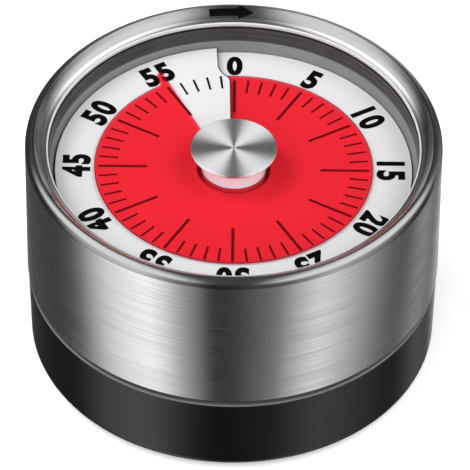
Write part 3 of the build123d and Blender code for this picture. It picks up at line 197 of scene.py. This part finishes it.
def object_coordinates(tree):
    return add_node(tree, "ShaderNodeTexCoord").outputs["Object"]


def noise(tree, vector, scale, detail=3.0, roughness=0.55):
    node = add_node(tree, "ShaderNodeTexNoise")
    set_inputs(node, Scale=scale, Detail=detail, Roughness=roughness)
    tree.links.new(vector, node.inputs["Vector"])
    return node.outputs["Fac"]


def ramp(tree, factor, stops):
    """A colour ramp from (position, grey or colour) stops."""
    node = add_node(tree, "ShaderNodeValToRGB")
    elements = node.color_ramp.elements
    while len(elements) < len(stops):
        elements.new(0.5)
    for element, (position, colour) in zip(elements, stops):
        element.position = position
        element.color = (colour,) * 3 + (1,) if isinstance(colour, (int, float)) else tuple(colour) + (1,)
    tree.links.new(factor, node.inputs["Fac"])
    return node.outputs["Color"]


def mix_colours(tree, factor, first):
    """A colour mix by a socket. Its second colour, input 7, is left to be linked or set."""
    mix = add_node(tree, "ShaderNodeMix", data_type="RGBA")
    tree.links.new(factor, mix.inputs["Factor"])
    tree.links.new(first, mix.inputs[6])
    return mix


def bump(tree, height, distance, strength=1.0):
    node = add_node(tree, "ShaderNodeBump")
    set_inputs(node, Strength=strength, Distance=distance)
    tree.links.new(height, node.inputs["Height"])
    return node.outputs["Normal"]


def split_coordinates(tree):
    split = add_node(tree, "ShaderNodeSeparateXYZ")
    tree.links.new(object_coordinates(tree), split.inputs[0])
    return split.outputs


def radius_from_axis(tree):
    x, y, _ = split_coordinates(tree)
    squares = math_node(tree, "ADD", math_node(tree, "MULTIPLY", x, x), math_node(tree, "MULTIPLY", y, y))
    return math_node(tree, "SQRT", squares, 0)


def ring_coordinates(tree, around, across):
    """Coordinates in which noise runs in fine lines round the Z axis.

    around is the scale along the lines and across the scale from line to line, over both radius and height.
    """
    x, y, z = split_coordinates(tree)
    lines = math_node(tree, "MULTIPLY", math_node(tree, "SUBTRACT", z, radius_from_axis(tree)), across)
    join = add_node(tree, "ShaderNodeCombineXYZ")
    tree.links.new(math_node(tree, "MULTIPLY", x, around), join.inputs[0])
    tree.links.new(math_node(tree, "MULTIPLY", y, around), join.inputs[1])
    tree.links.new(lines, join.inputs[2])
    return join.outputs[0]


def round_axis_tangent(tree, shader):
    """Makes the shader's anisotropy follow lines that run round the Z axis."""
    tangent = add_node(tree, "ShaderNodeTangent", direction_type="RADIAL", axis="Z")
    tree.links.new(tangent.outputs[0], shader.inputs["Tangent"])


# ---- materials ----
FINE_SHARE = 0.72  # how much of a brushed surface is fine scratches, the rest being broad streaks
BRUSH_DEPTH = 0.02 * MM
BROAD_AROUND = 0.5  # the broad streaks' scale against the fine scratches', along them and then across
BROAD_ACROSS = 0.16


def brushed_steel(
    name, dark, light, rough_low, rough_high, relief, anisotropic, around=36, across=3600, metallic=1.0
):
    """Stainless steel brushed round the axis: long fine scratches in colour, gloss and relief."""
    material, tree, shader = new_material(name)
    fine = noise(tree, ring_coordinates(tree, around, across), 1.0, detail=4.0, roughness=0.65)
    streaks = ring_coordinates(tree, around * BROAD_AROUND, across * BROAD_ACROSS)
    broad = noise(tree, streaks, 1.0, detail=2.0)
    fine_part = math_node(tree, "MULTIPLY", fine, FINE_SHARE)
    broad_part = math_node(tree, "MULTIPLY", broad, 1 - FINE_SHARE)
    both = math_node(tree, "ADD", fine_part, broad_part)
    tree.links.new(ramp(tree, both, [(0.32, dark), (0.68, light)]), shader.inputs["Base Color"])
    tree.links.new(ramp(tree, both, [(0.35, rough_high), (0.65, rough_low)]), shader.inputs["Roughness"])
    tree.links.new(bump(tree, both, BRUSH_DEPTH, relief), shader.inputs["Normal"])
    set_inputs(shader, Metallic=metallic, Anisotropic=anisotropic, Anisotropic_Rotation=0.25)
    round_axis_tangent(tree, shader)
    return material


def moulded_plastic(name, colour, roughness, grain=2600, relief=0.012, coat=0.0, specular=0.5):
    """Moulded plastic with a fine spark-eroded grain and slightly uneven gloss."""
    material, tree, shader = new_material(name)
    where = object_coordinates(tree)
    grain_fac = noise(tree, where, grain, detail=2.0)
    patch = noise(tree, where, 60.0, detail=3.0)
    darker = tuple(channel * 0.82 for channel in colour)
    tree.links.new(ramp(tree, patch, [(0.3, darker), (0.7, colour)]), shader.inputs["Base Color"])
    tree.links.new(
        ramp(tree, patch, [(0.3, roughness * 0.88), (0.7, roughness * 1.1)]), shader.inputs["Roughness"]
    )
    tree.links.new(bump(tree, grain_fac, relief * MM, 0.6), shader.inputs["Normal"])
    shader.inputs["Specular IOR Level"].default_value = specular
    shader.inputs["Coat Weight"].default_value = coat
    return material


def lighten_band(material, height, half_width, tone):
    """Paints a plain-coloured band into a material at one height, a painted highlight such as the light
    line of a moulded edge.
    """
    tree = material.node_tree
    colour = tree.nodes["Principled BSDF"].inputs["Base Color"]
    highlight_band = math_node(tree, "COMPARE", split_coordinates(tree)[2], height)
    highlight_band.node.inputs[2].default_value = half_width
    mix = mix_colours(tree, highlight_band, colour.links[0].from_socket)
    mix.inputs[7].default_value = tone
    tree.links.new(mix.outputs[2], colour)


def base_plastic():
    """The base's satin black moulding, with a painted highlight line where it meets the shell."""
    colour = (0.0028, 0.0028, 0.0031)
    material = moulded_plastic("base_satin_black", colour, 0.25, relief=0.005, specular=0.25)
    # a lighter grey band painted at the seam's height stands in for the highlight on the base's top edge
    lighten_band(material, BASE_SEAM_HEIGHT, BASE_HIGHLIGHT_HALF, (0.11, 0.11, 0.115, 1))
    return material


def dial_enamel():
    """The dial's off-white stoved paint, with a very faint orange-peel surface."""
    material, tree, shader = new_material("dial_enamel")
    where = object_coordinates(tree)
    tone = noise(tree, where, 45.0, detail=2.0)
    colour = ramp(tree, tone, [(0.3, (0.57, 0.57, 0.575)), (0.7, (0.60, 0.60, 0.605))])
    tree.links.new(colour, shader.inputs["Base Color"])
    tree.links.new(ramp(tree, tone, [(0.3, 0.42), (0.7, 0.5)]), shader.inputs["Roughness"])
    tree.links.new(bump(tree, noise(tree, where, 900.0), 0.004 * MM, 0.4), shader.inputs["Normal"])
    return material


def printing_ink():
    """Screen-printed black ink with slightly uneven cover."""
    material, tree, shader = new_material("printing_ink")
    cover = noise(tree, object_coordinates(tree), 2200.0, detail=3.0)
    tree.links.new(
        ramp(tree, cover, [(0.3, (0.001, 0.001, 0.001)), (0.75, (0.004, 0.004, 0.004))]),
        shader.inputs["Base Color"],
    )
    tree.links.new(ramp(tree, cover, [(0.3, 0.6), (0.7, 0.7)]), shader.inputs["Roughness"])
    shader.inputs["Specular IOR Level"].default_value = 0.03
    return material


def mix_shaders(tree, factor, first, second):
    """Mixes two shaders. The factor is a socket or a number, and at 1 only the second shows."""
    node = add_node(tree, "ShaderNodeMixShader")
    if isinstance(factor, (int, float)):
        node.inputs["Fac"].default_value = factor
    else:
        tree.links.new(factor, node.inputs["Fac"])
    tree.links.new(first.outputs[0], node.inputs[1])
    tree.links.new(second.outputs[0], node.inputs[2])
    return node


def film_cut_edge(tree, normal):
    """1 on the film's upright cut faces and on a line at its rim, both painted deep red as shade, except
    beside the pointer's root.
    """
    split = add_node(tree, "ShaderNodeSeparateXYZ")
    tree.links.new(normal, split.inputs[0])
    upright = math_node(tree, "LESS_THAN", math_node(tree, "ABSOLUTE", split.outputs[2], 0), 0.5)
    rim_shade_line = math_node(tree, "COMPARE", radius_from_axis(tree), DISC_RADIUS - FILM_SHADE_LINE_HALF)
    rim_shade_line.node.inputs[2].default_value = FILM_SHADE_LINE_HALF
    x, y, _ = split_coordinates(tree)
    past_pointer = math_node(tree, "SUBTRACT", math_node(tree, "ARCTAN2", x, y), POINTER_TURN)
    from_pointer = math_node(tree, "ABSOLUTE", past_pointer, 0)
    beside_pointer = math_node(tree, "GREATER_THAN", from_pointer, POINTER_HALF_WIDTH)
    return math_node(tree, "MAXIMUM", upright, math_node(tree, "MULTIPLY", rim_shade_line, beside_pointer))


def red_film():
    """Clear red film: light passes through its faces, tinted, and its cut edge and a line at its rim are
    painted deep red as shade.
    """
    material, tree, shader = new_material("red_film")
    tone = noise(tree, object_coordinates(tree), 70.0, detail=2.0)
    colour = ramp(tree, tone, [(0.3, (0.94, 0.02, 0.032)), (0.7, (1.0, 0.024, 0.038))])
    tree.links.new(colour, shader.inputs["Base Color"])
    tree.links.new(ramp(tree, tone, [(0.3, 0.3), (0.7, 0.38)]), shader.inputs["Roughness"])
    clear = add_node(tree, "ShaderNodeBsdfTransparent")
    clear.inputs["Color"].default_value = FILM_TINT
    # this opaque deep red paints the shade of the film's edge on its cut faces and rim line
    edge = add_node(tree, "ShaderNodeBsdfPrincipled")
    set_inputs(edge, Roughness=0.4)
    edge.inputs["Base Color"].default_value = FILM_EDGE_SHADE_COLOUR
    geometry = add_node(tree, "ShaderNodeNewGeometry")
    face = mix_shaders(tree, FILM_SHEEN, clear, shader)
    whole = mix_shaders(tree, film_cut_edge(tree, geometry.outputs["Normal"]), face, edge)
    # light is tinted once as it enters the film and leaves through the far face unchanged
    leaving = add_node(tree, "ShaderNodeBsdfTransparent")
    once = mix_shaders(tree, geometry.outputs["Backfacing"], whole, leaving)
    tree.links.new(once.outputs[0], tree.nodes["Material Output"].inputs["Surface"])
    return material


def plain_metal(name, dark, light, rough_low, rough_high, scale=700.0):
    """Milled or plated metal for parts of the movement, with small tarnish and tool marks."""
    material, tree, shader = new_material(name)
    where = object_coordinates(tree)
    tarnish = noise(tree, where, scale * 0.2, detail=4.0)
    marks = noise(tree, where, scale * 4, detail=2.0)
    tree.links.new(ramp(tree, tarnish, [(0.35, dark), (0.65, light)]), shader.inputs["Base Color"])
    tree.links.new(ramp(tree, tarnish, [(0.3, rough_high), (0.7, rough_low)]), shader.inputs["Roughness"])
    tree.links.new(bump(tree, marks, 0.006 * MM, 0.4), shader.inputs["Normal"])
    set_inputs(shader, Metallic=1.0)
    return material


STEEL = brushed_steel("shell_brushed_steel", 0.47, 0.62, 0.18, 0.30, relief=0.2, anisotropic=0.8)
# the rim's steel is a darker copy of the shell's steel: its roughness and anisotropy are its finish, its
# darker metal colour is painted shade
RIM_STEEL_PAINTED_SHADE = brushed_steel("rim_spun_steel_painted_shade", 0.25, 0.33, 0.16, 0.22, relief=0.1, anisotropic=0.45)
# the lip's steel is a pale, mostly non-metallic copy of the shell's steel, and its light colour is a
# painted highlight along the inner lip
LIP_STEEL_PAINTED_HIGHLIGHT = brushed_steel(
    "lip_steel_painted_highlight", 0.55, 0.65, 0.50, 0.60, relief=0.05, anisotropic=0.2, metallic=0.2
)
COVER_STEEL = brushed_steel("cover_spun_steel", 0.42, 0.55, 0.26, 0.38, relief=0.2, anisotropic=0.6)
CAP_STEEL = brushed_steel(
    "cap_turned_steel", 0.84, 0.96, 0.40, 0.48, relief=0.12, around=14, across=5200, anisotropic=1.0
)
BEZEL = moulded_plastic("bezel_satin_black", (0.035, 0.035, 0.037), 0.34)
SEAT = moulded_plastic("seat_grey_plastic", (0.185, 0.19, 0.195), 0.5)
BASE = base_plastic()
CARRIER = moulded_plastic("carrier_black", (0.02, 0.02, 0.02), 0.6)
RUBBER = moulded_plastic("foot_rubber_black", (0.018, 0.018, 0.018), 0.8, grain=1800, relief=0.03)
NECK = moulded_plastic("neck_gloss_white", (0.90, 0.90, 0.95), 0.12, relief=0.001, coat=0.5)
ENAMEL = dial_enamel()
INK = printing_ink()
FILM = red_film()
# a near-black material that paints the shade in the gap under the dial's raised end
SLIT_PAINTED_SHADE = moulded_plastic("slit_painted_shade_grey", (0.012, 0.012, 0.013), 0.6, specular=0.1)
BRASS = plain_metal("movement_brass", (0.50, 0.34, 0.12), (0.72, 0.52, 0.22), 0.25, 0.42)
BRIGHT_STEEL = plain_metal("movement_steel", (0.42, 0.42, 0.43), (0.62, 0.62, 0.63), 0.22, 0.38)
BLUED_STEEL = plain_metal("spring_blued_steel", (0.03, 0.05, 0.12), (0.07, 0.10, 0.22), 0.25, 0.4)
ZINC = plain_metal("screw_zinc", (0.46, 0.47, 0.48), (0.62, 0.63, 0.64), 0.28, 0.45)

SLOT_MATERIALS = {
    "shell_steel": STEEL,
    "knob_steel": CAP_STEEL,
    "bezel_black": BEZEL,
    "seat_grey": SEAT,
    "dial_white": ENAMEL,
    "film_red": FILM,
    "neck_white": NECK,
    "base_black": BASE,
    "carrier_black": CARRIER,
    "foot_rubber": RUBBER,
    "magnet_metal": ZINC,
    "cover_steel": COVER_STEEL,
    "screw_steel": ZINC,
    "brass": BRASS,
    "movement_steel": BRIGHT_STEEL,
    "spring_steel": BLUED_STEEL,
}


def dress_frame():
    """Gives every CAD node the material of its slot in the record."""
    for subpart in frame["record"]["subparts"]:
        node = NODES[subpart["node"]]
        node.data.materials.clear()
        node.data.materials.append(SLOT_MATERIALS[subpart["material_slot"]])


# ---- casing ----
LIP_ROUNDING = 0.3 * MM
BEZEL_LOW_EDGE = SEAT_HIGH.z
GROOVE_RADIUS = CREST_RADIUS + 0.12 * MM  # the fine line turned between the outer rounding and the slope
GROOVE_HALF = 0.13 * MM
GROOVE_DEPTH = 0.22 * MM
GROOVE_SHOULDER = 0.03 * MM  # how far below the rim's top the groove's two edges lie
SHELL_HEM = 0.22 * MM
COVE_POWER = 1.8  # how strongly the slope inside the crest is hollowed


def cove_height(radius):
    """The height of the hollow slope that falls from the crest to the rim's inner lip."""
    share = (radius - RIM_INNER_RADIUS) / (CREST_RADIUS - RIM_INNER_RADIUS)
    return RIM_TOP - RIM_DIP * (1 - max(share, 0) ** COVE_POWER)


def rim_profile():
    """The outside of the rolled rim, from the shell's outer wall over the crest to the inner lip."""
    outer = arc((CREST_RADIUS, RIM_TOP - RIM_ROUNDING), RIM_ROUNDING, 0, 84, 18)
    groove = [
        (GROOVE_RADIUS + GROOVE_HALF, RIM_TOP - GROOVE_SHOULDER),
        (GROOVE_RADIUS, RIM_TOP - GROOVE_DEPTH),
        (GROOVE_RADIUS - GROOVE_HALF, RIM_TOP - GROOVE_SHOULDER),
    ]
    steps = 14
    start, end = CREST_RADIUS - 0.1 * MM, RIM_INNER_RADIUS + LIP_ROUNDING
    slope = []
    for step in range(steps + 1):
        radius = start + (end - start) * step / steps
        slope.append((radius, cove_height(radius)))
    lip_centre = (RIM_INNER_RADIUS + LIP_ROUNDING, cove_height(end) - LIP_ROUNDING)
    return outer + groove + slope + arc(lip_centre, LIP_ROUNDING, 100, 180, 7)


def shell_profile():
    """The closed section of the shell, with its rounded lip and a rounded bottom edge."""
    bottom = SHELL_LOW.z
    outer_hem = arc((SHELL_RADIUS - SHELL_HEM, bottom + SHELL_HEM), SHELL_HEM, -90, 0, 5)
    rim = rim_profile()
    lip_bottom = RIM_TOP - RIM_DIP - SHELL_WALL
    under = [(RIM_INNER_RADIUS + 0.1 * MM, lip_bottom), (CREST_RADIUS, RIM_TOP - SHELL_WALL)]
    inner_corner = arc((CREST_RADIUS, RIM_TOP - RIM_ROUNDING), RIM_ROUNDING - SHELL_WALL, 80, 0, 6)
    inside = [(SHELL_RADIUS - SHELL_WALL, bottom)]
    return outer_hem + rim + under + inner_corner + inside


def make_shell():
    shell = mesh_piece("shell_body", lambda bm: lathe(bm, shell_profile()), STEEL, "case")
    shell.data.materials.append(RIM_STEEL_PAINTED_SHADE)
    shell.data.materials.append(LIP_STEEL_PAINTED_HIGHLIGHT)
    rounding_bottom = RIM_TOP - RIM_ROUNDING
    # the rim's rounding and slope get the steel painted darker as shade, and the inner lip gets the steel
    # painted pale as a highlight
    for face in shell.data.polygons:
        radius = face.center.xy.length
        if radius < RIM_INNER_RADIUS + LIP_ROUNDING:
            face.material_index = 2
        elif face.center.z > rounding_bottom:
            face.material_index = 1
    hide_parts("steel_shell")


def bezel_profile():
    """The dark liner of the wall over the dial: two shallow coves between a dark gap above and below."""
    low_radius, high_radius = 35.3 * MM, 35.5 * MM
    bottom, top = BEZEL_LOW_EDGE, RIM_TOP - RIM_DIP - SHELL_WALL
    gap = 0.45 * MM
    recess = 0.6 * MM
    back = 37.6 * MM
    start, end = bottom + gap, top - gap
    cove_depth = 0.14 * MM
    steps = 24
    wall = []
    for step in range(steps + 1):
        share = step / steps
        cove = cove_depth * sin(pi * 2 * share) ** 2
        radius = low_radius + (high_radius - low_radius) * share + cove
        wall.append((radius, start + (end - start) * share))
    low_gap = [(back, bottom), (low_radius + recess, bottom), (low_radius + recess, start)]
    high_gap = [(high_radius + recess, end), (high_radius + recess, top), (back, top)]
    return low_gap + wall + high_gap


def make_bezel():
    bezel = mesh_piece("bezel_liner", lambda bm: lathe(bm, bezel_profile()), BEZEL, "case")
    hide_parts("inner_bezel")


ARROW_INSET = 0.75 * MM  # from the crest in to the arrow's middle line
ARROW_TIP_HALF = 0.03 * MM
CREST_CLEARANCE = 0.02 * MM


def winding_arrow(bm):
    """The printed arrow that lies on the curved rim at the 0 mark and points clockwise."""
    middle_radius = CREST_RADIUS - ARROW_INSET
    tail, neck, tip = -5.1 * MM, 0.6 * MM, 3.6 * MM
    shaft_half, head_half = 0.5 * MM, 1.05 * MM
    across_steps = 10

    def column(along, half):
        verts = []
        for step in range(across_steps + 1):
            radius = middle_radius + half * (1 - 2 * step / across_steps)
            angle = pi / 2 - along / middle_radius
            height = min(cove_height(radius), RIM_TOP - CREST_CLEARANCE) + PRINT_LIFT
            verts.append(bm.verts.new((radius * cos(angle), radius * sin(angle), height)))
        return verts

    def strip(start, end, start_half, end_half, steps):
        previous = column(start, start_half)
        for step in range(1, steps + 1):
            share = step / steps
            current = column(start + (end - start) * share, start_half + (end_half - start_half) * share)
            for index in range(across_steps):
                after = index + 1
                corners = (previous[index], previous[after], current[after], current[index])
                bm.faces.new(corners).smooth = True
            previous = current

    strip(tail, neck, shaft_half, shaft_half, 12)
    strip(neck, tip, head_half, ARROW_TIP_HALF, 10)


def make_arrow():
    mesh_piece("winding_arrow_print", winding_arrow, INK, "case")


# ---- dial print and the slit's painted shade ----
def dial_top(minute):
    """The height of the dial's upper face at a minute mark."""
    return DIAL_HIGH.z - DIAL_PITCH * (1 - minute / MINUTES)


def on_dial(along, out, minute, lift=PRINT_LIFT):
    """The point over the dial at a distance clockwise of a minute's line and a distance from the centre."""
    angle = radians(90 - 360 * minute / MINUTES)
    x = out * cos(angle) + along * sin(angle)
    y = out * sin(angle) - along * cos(angle)
    turned = degrees(atan2(along, out)) * MINUTES / 360
    return Vector((x, y, dial_top(minute + turned) + lift))


def tick_marks(bm):
    """A thin raised bar of ink for each minute, longer and wider at every fifth."""
    for minute in range(MINUTES):
        major = minute % 5 == 0
        inner = MAJOR_TICK_INNER if major else MINOR_TICK_INNER
        half = (MAJOR_TICK_WIDTH if major else MINOR_TICK_WIDTH) / 2
        corners = ((-half, inner), (half, inner), (half, TICK_OUTER), (-half, TICK_OUTER))
        low = [bm.verts.new(on_dial(along, out, minute, 0)) for along, out in corners]
        high = [bm.verts.new(on_dial(along, out, minute)) for along, out in corners]
        bm.faces.new(high)
        for index in range(4):
            after = (index + 1) % 4
            bm.faces.new((low[index], low[after], high[after], high[index]))


def text_mesh(text):
    """A flat mesh of a number, centred, with its height set to 1."""
    curve = bpy.data.curves.new("numeral_" + text, "FONT")
    curve.body = text
    curve.offset = NUMERAL_BOLDNESS
    curve.space_character = NUMERAL_SPACING
    curve.resolution_u = NUMERAL_RESOLUTION
    holder = bpy.data.objects.new("numeral_" + text, curve)
    mesh = bpy.data.meshes.new_from_object(holder)
    bpy.data.objects.remove(holder)
    bpy.data.curves.remove(curve)
    xs = [v.co.x for v in mesh.vertices]
    ys = [v.co.y for v in mesh.vertices]
    height = max(ys) - min(ys)
    centre_x, centre_y = (max(xs) + min(xs)) / 2, (max(ys) + min(ys)) / 2
    for vertex in mesh.vertices:
        vertex.co.x = (vertex.co.x - centre_x) / height
        vertex.co.y = (vertex.co.y - centre_y) / height
    return mesh


def numerals(bm):
    """The numbers 0 to 55, tops outwards, each laid on the spiral surface."""
    for minute in range(0, MINUTES, 5):
        flat = text_mesh(str(minute))
        first = len(bm.verts)
        bm.from_mesh(flat)
        bm.verts.ensure_lookup_table()
        for vertex in bm.verts[first:]:
            along = vertex.co.x * NUMERAL_HEIGHT * NUMERAL_CONDENSING
            out = NUMERAL_RADIUS + vertex.co.y * NUMERAL_HEIGHT
            vertex.co = on_dial(along, out, minute)
        bpy.data.meshes.remove(flat)


def make_slit_edge():
    """A fine dark bead along the cut edge of the dial's raised end, beside the 0 mark: painted shade for
    the gap under the raised end.
    """
    dial = NODES["dial"].data
    edge_points = set()
    raised = DIAL_HIGH.z - DIAL_PITCH * SLIT_RAISED_SHARE
    for polygon in dial.polygons:
        if abs(polygon.normal.z) > UPRIGHT_LIMIT:
            continue
        for index in polygon.vertices:
            point = dial.vertices[index].co
            in_line = SLIT_FAR_X < point.x < 0 and point.y > NECK_HIGH.x + SLIT_MARGIN
            if in_line and point.z > raised:
                edge_points.add(tuple(round(value, 7) for value in point))
    points = sorted(edge_points, key=lambda point: point[1])
    curve = bpy.data.curves.new("dial_slit_shade_line", "CURVE")
    curve.dimensions = "3D"
    curve.bevel_depth = SLIT_SHADE_RADIUS
    curve.bevel_resolution = 2
    spline = curve.splines.new("POLY")
    spline.points.add(len(points) - 1)
    for place, point in zip(spline.points, points):
        place.co = (point[0] - SLIT_SHADE_OFFSET, point[1], point[2], 1)
    curve.materials.append(SLIT_PAINTED_SHADE)
    piece = bpy.data.objects.new("dial_slit_shade_line", curve)
    bpy.context.scene.collection.objects.link(piece)
    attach(piece, "case")


def make_dial_print():
    make_slit_edge()
    mesh_piece("dial_ticks_print", tick_marks, INK, "case")
    mesh_piece("dial_numerals_print", numerals, INK, "case")


# ---- knob ----
def cap_profile():
    """The cap's section, with rounded edges and a slight dish."""
    radius, top, bottom = CAP_HIGH.x, CAP_HIGH.z, CAP_HIGH.z - CAP_THICKNESS
    edge = CAP_EDGE_ROUNDING
    upper = arc((radius - edge, top - edge), edge, 0, 90, 6)
    lower = arc((radius - edge, bottom + edge), edge, -90, 0, 6)
    dish = []
    for share in (0.9, 0.7, 0.5, 0.3, 0.15):
        dish.append((radius * share, top - CAP_DISH_DEPTH * (1 - share * share)))
    return [(0, bottom)] + lower + upper + dish + [(0, top - CAP_DISH_DEPTH)]


def neck_profile():
    """The waisted neck under the cap."""
    top, low = CAP_HIGH.z - CAP_THICKNESS, NECK_LOW.z
    wide, narrow = NECK_HIGH.x, NECK_NARROW_RADIUS
    points = [(0, low), (narrow, low)]
    taper_bottom = CAP_HIGH.z - NECK_TAPER_HEIGHT
    steps = 12
    for step in range(steps + 1):
        share = step / steps
        radius = narrow + (wide - narrow) * share ** NECK_FLARE_POWER
        points.append((radius, taper_bottom + (top - taper_bottom) * share))
    return points + [(0, top)]


def make_knob():
    cap = mesh_piece(
        "cap_turned", lambda bm: lathe(bm, cap_profile()), CAP_STEEL, "winding_arbor"
    )
    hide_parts("knob_cap")
    neck = mesh_piece(
        "neck_moulded", lambda bm: lathe(bm, neck_profile()), NECK, "winding_arbor"
    )
    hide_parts("knob_neck")


# ---- floor, light and camera ----
VIEW_ELEVATION = 43.5
VIEW_DISTANCE = 1.05
VIEW_LENS = 413.6
VIEW_ROLL = 0.6
VIEW_SENSOR = 36
VIEW_CLIP_NEAR, VIEW_CLIP_FAR = 0.05, 20
VIEW_TARGET = Vector((0.0004, 0, 0.02445))
LIGHT_TARGET = Vector((0, 0, 0.03))
FLOOR_HALF = 3.0
FLOOR_GLOW = 0.22
# the surroundings in reflections, as degrees round from -Y towards +X and brightness
PANELS = (
    (-180, 0.60),
    (-160, 0.10),
    (-115, 0.05),
    (-95, 0.10),
    (-74, 1.15),
    (-46, 1.75),
    (-30, 0.60),
    (-12, 0.03),
    (2, 0.07),
    (26, 0.25),
    (50, 1.25),
    (75, 0.60),
    (95, 0.16),
    (112, 0.05),
    (130, 0.50),
    (150, 0.05),
    (167, 1.00),
    (180, 0.60),
)
OVERHEAD_FROM, OVERHEAD_FULL = 0.15, 0.55  # height of the direction at which the overhead tone takes over
WING_FROM, WING_FULL = 0.17, 0.42  # distance of the direction from the middle line
WING_BACK_FROM, WING_BACK_END = 0.40, 0.60  # how far back the wings reach
BETWEEN_WINGS = 0.06
WING_BRIGHTNESS = (2.2, 2.2, 2.22, 1)
LIGHTS = (
    ("softbox_left", (-0.52, 0.16, 0.82), 0.34, 2.6),
    ("softbox_right", (0.52, 0.16, 0.82), 0.34, 0.6),
    ("softbox_front", (0.0, -0.75, 0.95), 0.5, 1.4),
    ("fill_front", (0.0, -0.95, 0.4), 0.5, 3.5),
)


def make_floor():
    size = FLOOR_HALF
    mesh = bpy.data.meshes.new("floor")
    mesh.from_pydata(
        [(-size, -size, 0), (size, -size, 0), (size, size, 0), (-size, size, 0)], [], [(0, 1, 2, 3)]
    )
    material, tree, shader = new_material("floor_pale")
    tone = noise(tree, object_coordinates(tree), 6.0)
    tree.links.new(ramp(tree, tone, [(0.3, 0.90), (0.7, 0.92)]), shader.inputs["Base Color"])
    set_inputs(shader, Roughness=0.9, Emission_Color=(1, 1, 1, 1), Emission_Strength=FLOOR_GLOW)
    mesh.materials.append(material)
    floor = bpy.data.objects.new("floor", mesh)
    bpy.context.scene.collection.objects.link(floor)
    floor.visible_glossy = False


def panel_tone(tree, x, y):
    """The bright and dark panels that stand round the timer."""
    around = math_node(tree, "ARCTAN2", x, math_node(tree, "MULTIPLY", y, -1.0))
    turn = math_node(tree, "ADD", math_node(tree, "DIVIDE", around, 2 * pi), 0.5)
    return ramp(tree, turn, [(azimuth / 360 + 0.5, grey) for azimuth, grey in PANELS])


def wing_tone(tree, x, y):
    """Two bright wings high on the left and right, kept off the middle line and off the back."""
    sideways = ramp(tree, math_node(tree, "ABSOLUTE", x, 0), [(WING_FROM, 0.0), (WING_FULL, 1.0)])
    forward = ramp(tree, y, [(WING_BACK_FROM, 1.0), (WING_BACK_END, 0.0)])
    wings = math_node(tree, "MULTIPLY", sideways, forward)
    tone = ramp(tree, wings, [(0.0, BETWEEN_WINGS), (1.0, 1.0)])
    brighter = add_node(tree, "ShaderNodeMix", data_type="RGBA", blend_type="MULTIPLY")
    brighter.inputs["Factor"].default_value = 1.0
    tree.links.new(tone, brighter.inputs[6])
    brighter.inputs[7].default_value = WING_BRIGHTNESS
    return brighter.outputs[2]


def make_world():
    """A pale studio: white to the camera, and broad bright and dark panels all round in reflections."""
    world = bpy.data.worlds.new("studio")
    bpy.context.scene.world = world
    world.use_nodes = True
    tree = world.node_tree
    direction = add_node(tree, "ShaderNodeTexCoord").outputs["Generated"]
    split = add_node(tree, "ShaderNodeSeparateXYZ")
    tree.links.new(direction, split.inputs[0])
    x, y, z = split.outputs
    overhead = ramp(tree, z, [(0.0, 0.0), (OVERHEAD_FROM, 0.0), (OVERHEAD_FULL, 1.0)])
    studio = mix_colours(tree, overhead, panel_tone(tree, x, y))
    tree.links.new(wing_tone(tree, x, y), studio.inputs[7])
    is_camera_ray = add_node(tree, "ShaderNodeLightPath").outputs["Is Camera Ray"]
    seen = mix_colours(tree, is_camera_ray, studio.outputs[2])
    seen.inputs[7].default_value = (1, 1, 1, 1)
    tree.links.new(seen.outputs[2], tree.nodes["Background"].inputs["Color"])


def area_light(name, place, size, power):
    """A soft square light at a place, aimed at the timer and kept out of reflections."""
    data = bpy.data.lights.new(name, "AREA")
    data.size = size
    data.energy = power
    light = bpy.data.objects.new(name, data)
    light.location = place
    light.rotation_euler = (LIGHT_TARGET - Vector(place)).to_track_quat("-Z", "Y").to_euler()
    light.visible_glossy = False
    bpy.context.scene.collection.objects.link(light)


def make_lights():
    for name, place, size, power in LIGHTS:
        area_light(name, place, size, power)


def make_camera():
    data = bpy.data.cameras.new("camera")
    data.lens = VIEW_LENS
    data.sensor_width = VIEW_SENSOR
    data.clip_start, data.clip_end = VIEW_CLIP_NEAR, VIEW_CLIP_FAR
    camera = bpy.data.objects.new("camera", data)
    elevation = radians(VIEW_ELEVATION)
    back = Vector((0, -cos(elevation), sin(elevation)))
    camera.location = VIEW_TARGET + back * VIEW_DISTANCE
    level = (-back).to_track_quat("-Z", "Y")
    roll = Quaternion((0, 0, 1), radians(VIEW_ROLL))
    camera.rotation_euler = (level @ roll).to_euler()
    bpy.context.scene.collection.objects.link(camera)
    bpy.context.scene.camera = camera


def main():
    make_camera()
    dress_frame()
    make_shell()
    make_bezel()
    make_arrow()
    make_dial_print()
    make_knob()
    make_floor()
    make_world()
    make_lights()
    bpy.context.scene.view_settings.view_transform = "Standard"


main()
